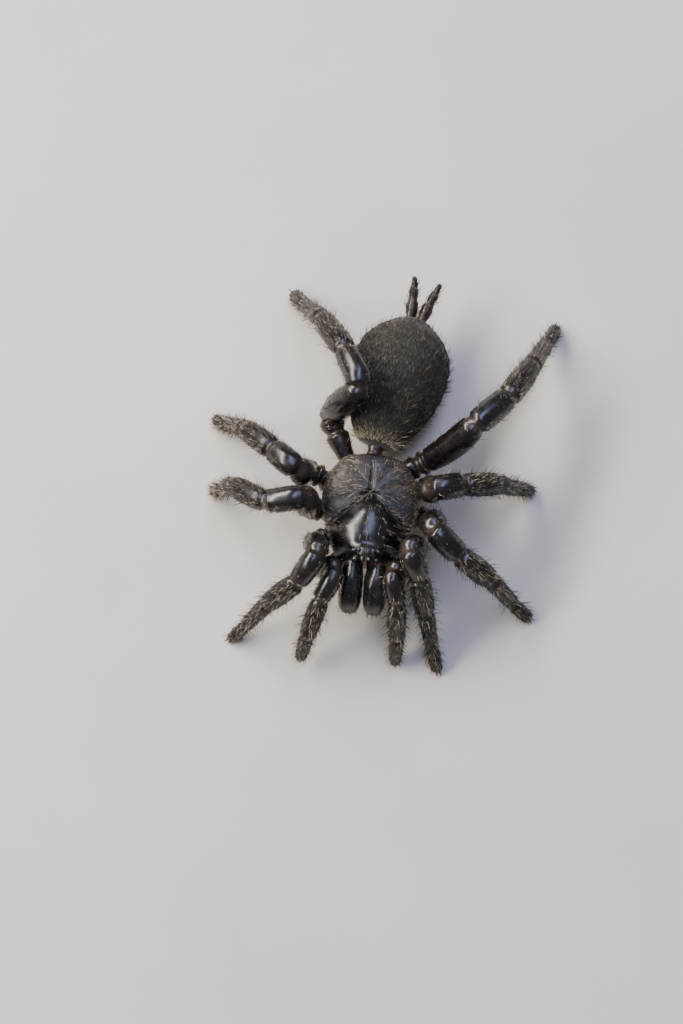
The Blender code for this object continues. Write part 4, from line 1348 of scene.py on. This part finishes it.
class SPIDER_OT_abdomen_coat(bpy.types.Operator):
    """Grows the dense short coat of the abdomen, lying back towards the spinnerets"""
    bl_idname = "spider.abdomen_coat"
    bl_label = "Abdomen bristles"

    def execute(self, context):
        settings = context.scene.spider
        for half in (0, 1):
            count = int(ABDOMEN_HALF_BRISTLES * settings.coat.density)
            seed = ABDOMEN_SEED + half
            share, angle, tint, sway = scatter(2 * count, seed, (0.02, half * math.pi, 0, -0.4),
                                               (0.985, (half + 1) * math.pi, 1, 0.4)).T
            girth = np.sin(math.pi * np.clip(share, 0.04, 0.97)) ** 0.6 + 0.5 * bell(share, 0.07)
            pick = kept(girth * (1 - 0.8 * book_lung(angle, share)), count, seed + 10)
            share, angle, tint, sway = (v[pick] for v in (share, angle, tint, sway))
            roots = abdomen_surface(angle, share)
            along = abdomen_surface(angle, share + 0.01) - roots
            aside = abdomen_surface(angle + 0.02, share) - roots
            normals = outward(np.cross(unit(aside), unit(along)), roots - abdomen_axis(share))
            leans = unit(along) + sway[:, None] * unit(aside)
            lengths, radii, lifts, bends = lengths_and_lifts(len(pick), seed + 20, settings.coat, 0.05)
            tones = np.clip(0.3 * tint ** 2 + 0.35 * (tint > 0.9), 0, 1)
            front = bell(share, 0.09)
            tones = np.clip(tones + 0.85 * front * (tint > 0.15), 0, 1)
            bristle_mesh(f"abdomen_coat_{half + 1}", roots - ROOT_DEPTH * normals, normals, leans,
                         lengths * (0.9 + 0.3 * front), radii, lifts, bends,
                         np.stack([share, angle / (2 * math.pi)], -1), tones, velvet_bristle(settings))
        return {"FINISHED"}


def ring_coat(name, rings, count, seed, settings, chance, shorter):
    """Bristles on a piece that is built of rings, lying towards its last ring."""
    rows, sides = rings.shape[:2]
    row, side, tint, sway = scatter(3 * count, seed, (0.08 * rows, 0, 0, -0.4),
                                    (0.97 * rows - 1, sides, 1, 0.4)).T
    pick = kept(np.clip(chance(row / rows, np.sin(2 * math.pi * side / sides)), 0, 1),
                int(count * settings.coat.density), seed + 1)
    row, side, tint, sway = row[pick].astype(int), side[pick].astype(int), tint[pick], sway[pick]
    roots = rings[row, side]
    along = unit(rings[row + 1, side] - roots)
    aside = unit(rings[row, (side + 1) % sides] - roots)
    normals = outward(np.cross(along, aside), roots - rings[row].mean(1))
    lengths, radii, lifts, bends = lengths_and_lifts(len(pick), seed + 2, settings.coat, 0.1)
    tones = np.clip(0.08 * tint ** 2 + 0.35 * (tint > 0.93), 0, 1)
    bristle_mesh(name, roots - ROOT_DEPTH * normals, normals, along + sway[:, None] * aside,
                 shorter * lengths, radii, 0.8 * lifts, bends,
                 np.stack([row / rows, side / sides], -1), tones, dark_bristle(settings))


class SPIDER_OT_body_coat(bpy.types.Operator):
    """Grows the hairs of the carapace, the jaws, the spinnerets and the sternum"""
    bl_idname = "spider.body_coat"
    bl_label = "Body bristles"

    def execute(self, context):
        for grow in (self.carapace, self.jaws, self.spinnerets, self.sternum):
            grow(context.scene.spider)
        return {"FINISHED"}

    def carapace(self, settings):
        """Hairs that point to the pit in front of it and curve back along the margin behind it."""
        count = int(CARAPACE_BRISTLES * settings.coat.density)
        ahead, side, tint, sway = scatter(6 * count, CARAPACE_SEED,
                                          (CARAPACE_REAR + 0.1, 0.02, 0, -0.3),
                                          (CARAPACE_FRONT - 0.1, math.pi - 0.02, 1, 0.3)).T
        x = carapace_half_width(ahead) * np.cos(side)
        across = np.abs(np.cos(side))
        thorax = fade(-ahead, -0.9, 0.4) * (0.25 + 0.75 * fade(across, 0.25, 0.8))
        groove = bell(np.abs(x) - caput_half_width(ahead) - 0.15, 0.28) * fade(ahead, 0.1, 0.6)
        margin = fade(across, 0.9, 0.985)
        middle_line = 0.7 * bell(x, 0.12) * fade(ahead, 0.8, 1.6)
        eyes = 0.8 * bell(ahead - EYE_MOUND_AHEAD, 0.5) * fade(-np.abs(x), -1.6, -1.2)
        chance = np.clip(0.04 + 0.5 * thorax + 0.65 * groove + margin + middle_line + eyes, 0, 1)
        pick = kept(chance * 0.55, count, CARAPACE_SEED + 1)
        ahead, side, tint, sway, x, across = (v[pick] for v in (ahead, side, tint, sway, x, across))
        roots = carapace_surface(side, ahead)
        normals = carapace_normal(side, ahead)
        out = unit(np.stack([x, ahead + 0.2, 0 * x], -1))
        back = np.stack([-out[:, 1], out[:, 0], 0 * x], -1)
        back = back * -np.sign(back[:, 1:2])
        out = out + (2.2 * fade(across, 0.25, 0.75))[:, None] * back
        centre = np.stack([-x, -(ahead + 0.3), 0 * x], -1)
        leans = np.where((ahead < 0.8)[:, None], unit(centre), out) + sway[:, None] * LEFT
        lengths, radii, lifts, bends = lengths_and_lifts(len(pick), CARAPACE_SEED + 2,
                                                         settings.coat, 0.08)
        near_eyes = bell(ahead - EYE_MOUND_AHEAD, 0.5)
        tones = np.clip(0.25 + 0.75 * tint - 0.6 * near_eyes * (np.abs(x) < 1.6), 0, 1)
        lengths = lengths * (0.85 - 0.35 * fade(across, 0.8, 0.97))
        along = (ahead - CARAPACE_REAR) / (CARAPACE_FRONT - CARAPACE_REAR)
        bristle_mesh("carapace_coat", roots - ROOT_DEPTH * normals, normals, leans, lengths,
                     radii * 0.75, lifts * 0.5, bends, np.stack([along, side / math.pi], -1),
                     tones, dark_bristle(settings))

    def jaws(self, settings):
        """The jaws are nearly bare above and bristly in front and below."""
        def chance(share, rise):
            """More in front and below."""
            return 0.05 - 0.04 * rise + 0.3 * fade(share, 0.7, 0.92) + 0.4 * (rise < -0.5)
        for number, (side, hand) in enumerate(SIDES):
            ring_coat(f"jaw_{side}_coat", jaw_rings(hand), JAW_BRISTLES, JAW_SEED + 10 * number,
                      settings, chance, 0.62)

    def spinnerets(self, settings):
        """The spinnerets are bristly all over."""
        for number, name in enumerate(SPINNERETS):
            for side, hand in SIDES:
                ring_coat(f"{name}_{side}_coat", spinneret_rings(name, hand)[0],
                          SPINNERET_BRISTLES[number], SPINNERET_SEED + 20 * number + hand, settings,
                          lambda share, rise: 0.6 + 0 * share, 0.75)

    def sternum(self, settings):
        """The breast plate is bristly below."""
        ring_coat("sternum_coat", sternum_rings(), STERNUM_BRISTLES, STERNUM_SEED, settings,
                  lambda share, rise: 0.5 * (rise < -0.25), 0.9)


# Stage: the floor's half side in metres, the sky's colours, each panel's place in metres, tint and
# size, then the height of the picture and the shift of its middle in millimetres
FLOOR_REACH = 0.6
SKY_LOW = (0.56, 0.52, 0.47)
SKY_HIGH = (0.66, 0.72, 0.84)
KEY_PANEL = ((-0.21, 0.07, 0.19), (1.0, 0.95, 0.87), (0.42, 0.065))
SKY_PANEL = ((0.03, 0.11, 0.3), (0.54, 0.6, 1.0), (0.1, 0.34))
SENSOR = 36
PICTURE_HEIGHT = 78.2
PIT_Z = 5.5
AIM_SHIFT = (2.25, 1.37)


def floor_material(colour_of):
    """Pale plaster with a faint slow tone change and a fine tooth."""
    material, tree, shader = start_material("studio floor", Specular_IOR_Level=0.25)
    grain = add_grain(tree, 3000, 60)
    darker = tuple(0.93 * c for c in colour_of)
    share = ramp_value(tree, grain.outputs["Patches"], 0, 1, 0.3, 0.7)
    link(tree, mixed(tree, share, darker, colour_of), shader.inputs["Base Color"])
    link(tree, ramp_value(tree, grain.outputs["Patches"], 0.6, 0.75), shader.inputs["Roughness"])
    add_bump(tree, shader, grain.outputs["Height"], 0.15, 0.00005)
    return material


class SPIDER_OT_stage(bpy.types.Operator):
    """Sets the floor, the lights, the sky and the camera"""
    bl_idname = "spider.stage"
    bl_label = "Stage"

    def execute(self, context):
        settings = context.scene.spider.stage
        self.floor(settings)
        self.lights(context, settings)
        self.camera(context, settings)
        return {"FINISHED"}

    def floor(self, settings):
        """One large square at height zero."""
        mesh = bpy.data.meshes.new("studio_floor")
        corners = [(FLOOR_REACH * x, FLOOR_REACH * y, 0)
                   for x, y in ((-1, -1), (1, -1), (1, 1), (-1, 1))]
        mesh.from_pydata(corners, [], [(0, 1, 2, 3)])
        mesh.materials.append(floor_material(tuple(settings.floor)))
        floor = bpy.data.objects.new("studio_floor", mesh)
        bpy.context.scene.collection.objects.link(floor)

    def lights(self, context, settings):
        """A sky that turns from warm at the floor to cool overhead, and two soft panels."""
        world = bpy.data.worlds.new("soft sky")
        world.use_nodes = True
        tree = world.node_tree
        place = tree.nodes.new("ShaderNodeTexCoord")
        split = tree.nodes.new("ShaderNodeSeparateXYZ")
        link(tree, place.outputs["Generated"], split.inputs["Vector"])
        height = ramp_value(tree, split.outputs["Z"], 0, 1, 0, 0.9)
        sky = mixed(tree, height, SKY_LOW, SKY_HIGH)
        link(tree, sky, tree.nodes["Background"].inputs["Color"])
        tree.nodes["Background"].inputs["Strength"].default_value = settings.fill
        context.scene.world = world
        self.panel("key panel", settings.sun, *KEY_PANEL)
        self.panel("sky panel", settings.sky, *SKY_PANEL)

    def panel(self, name, strength, place, tint, wide):
        """A soft light from a rectangle that faces the model."""
        light = bpy.data.lights.new(name, "AREA")
        light.shape = "RECTANGLE"
        light.size, light.size_y = wide
        light.energy = strength
        light.color = tint
        lamp = bpy.data.objects.new(name, light)
        lamp.location = place
        lamp.rotation_euler = Vector(place).to_track_quat("Z", "Y").to_euler()
        bpy.context.scene.collection.objects.link(lamp)

    def camera(self, context, settings):
        """The pit of the carapace and the body's slant in the picture fix the camera."""
        view = np.array((0, math.cos(settings.elevation), -math.sin(settings.elevation)))
        level_up = np.array((0, math.sin(settings.elevation), math.cos(settings.elevation)))
        cos_roll, sin_roll = math.cos(settings.roll), math.sin(settings.roll)
        right = cos_roll * LEFT + sin_roll * level_up
        up = -sin_roll * LEFT + cos_roll * level_up
        pit = np.array((PIT[0], PIT[1], PIT_Z))
        aim = pit - AIM_SHIFT[0] * right - AIM_SHIFT[1] * up
        away = settings.lens * PICTURE_HEIGHT / SENSOR
        place = MM * (aim - away * view)
        camera = bpy.data.cameras.new("view")
        camera.lens = settings.lens
        camera.sensor_width = SENSOR
        camera.clip_start = 0.005
        camera.clip_end = 5
        item = bpy.data.objects.new("view", camera)
        item.matrix_world = Matrix(np.column_stack([
            np.append(right, 0), np.append(up, 0), np.append(-view, 0), np.append(place, 1)]).tolist())
        context.scene.collection.objects.link(item)
        context.scene.camera = item


class SPIDER_PT_model(bpy.types.Panel):
    """Lists the steps and settings of the spider model"""
    bl_idname = "SPIDER_PT_model"
    bl_label = "Funnel-web spider"
    bl_space_type = "VIEW_3D"
    bl_region_type = "UI"
    bl_category = "Spider"

    def draw(self, context):
        for step in STEPS:
            self.layout.operator(step.bl_idname)
        settings = context.scene.spider
        for group in (settings.colours, settings.coat, settings.stage):
            box = self.layout.box()
            for name in group.bl_rna.properties.keys():
                if name not in ("rna_type", "name"):
                    box.prop(group, name)


STEPS = (SPIDER_OT_carapace, SPIDER_OT_sternum, SPIDER_OT_abdomen, SPIDER_OT_jaws, SPIDER_OT_eyes,
         SPIDER_OT_spinnerets, SPIDER_OT_legs, SPIDER_OT_palps, SPIDER_OT_claws,
         SPIDER_OT_limb_coats, SPIDER_OT_abdomen_coat, SPIDER_OT_body_coat, SPIDER_OT_stage)
CLASSES = (SpiderColours, SpiderCoat, SpiderStage, SpiderSettings, *STEPS, SPIDER_PT_model)


def register():
    """Makes the operators, the panel and the settings known."""
    for item in CLASSES:
        bpy.utils.register_class(item)
    bpy.types.Scene.spider = PointerProperty(type=SpiderSettings)


def unregister():
    """Takes them away again."""
    del bpy.types.Scene.spider
    for item in reversed(CLASSES):
        bpy.utils.unregister_class(item)


def main():
    register()
    for step in STEPS:
        space, name = step.bl_idname.split(".")
        getattr(getattr(bpy.ops, space), name)()


if __name__ == "__main__":
    main()
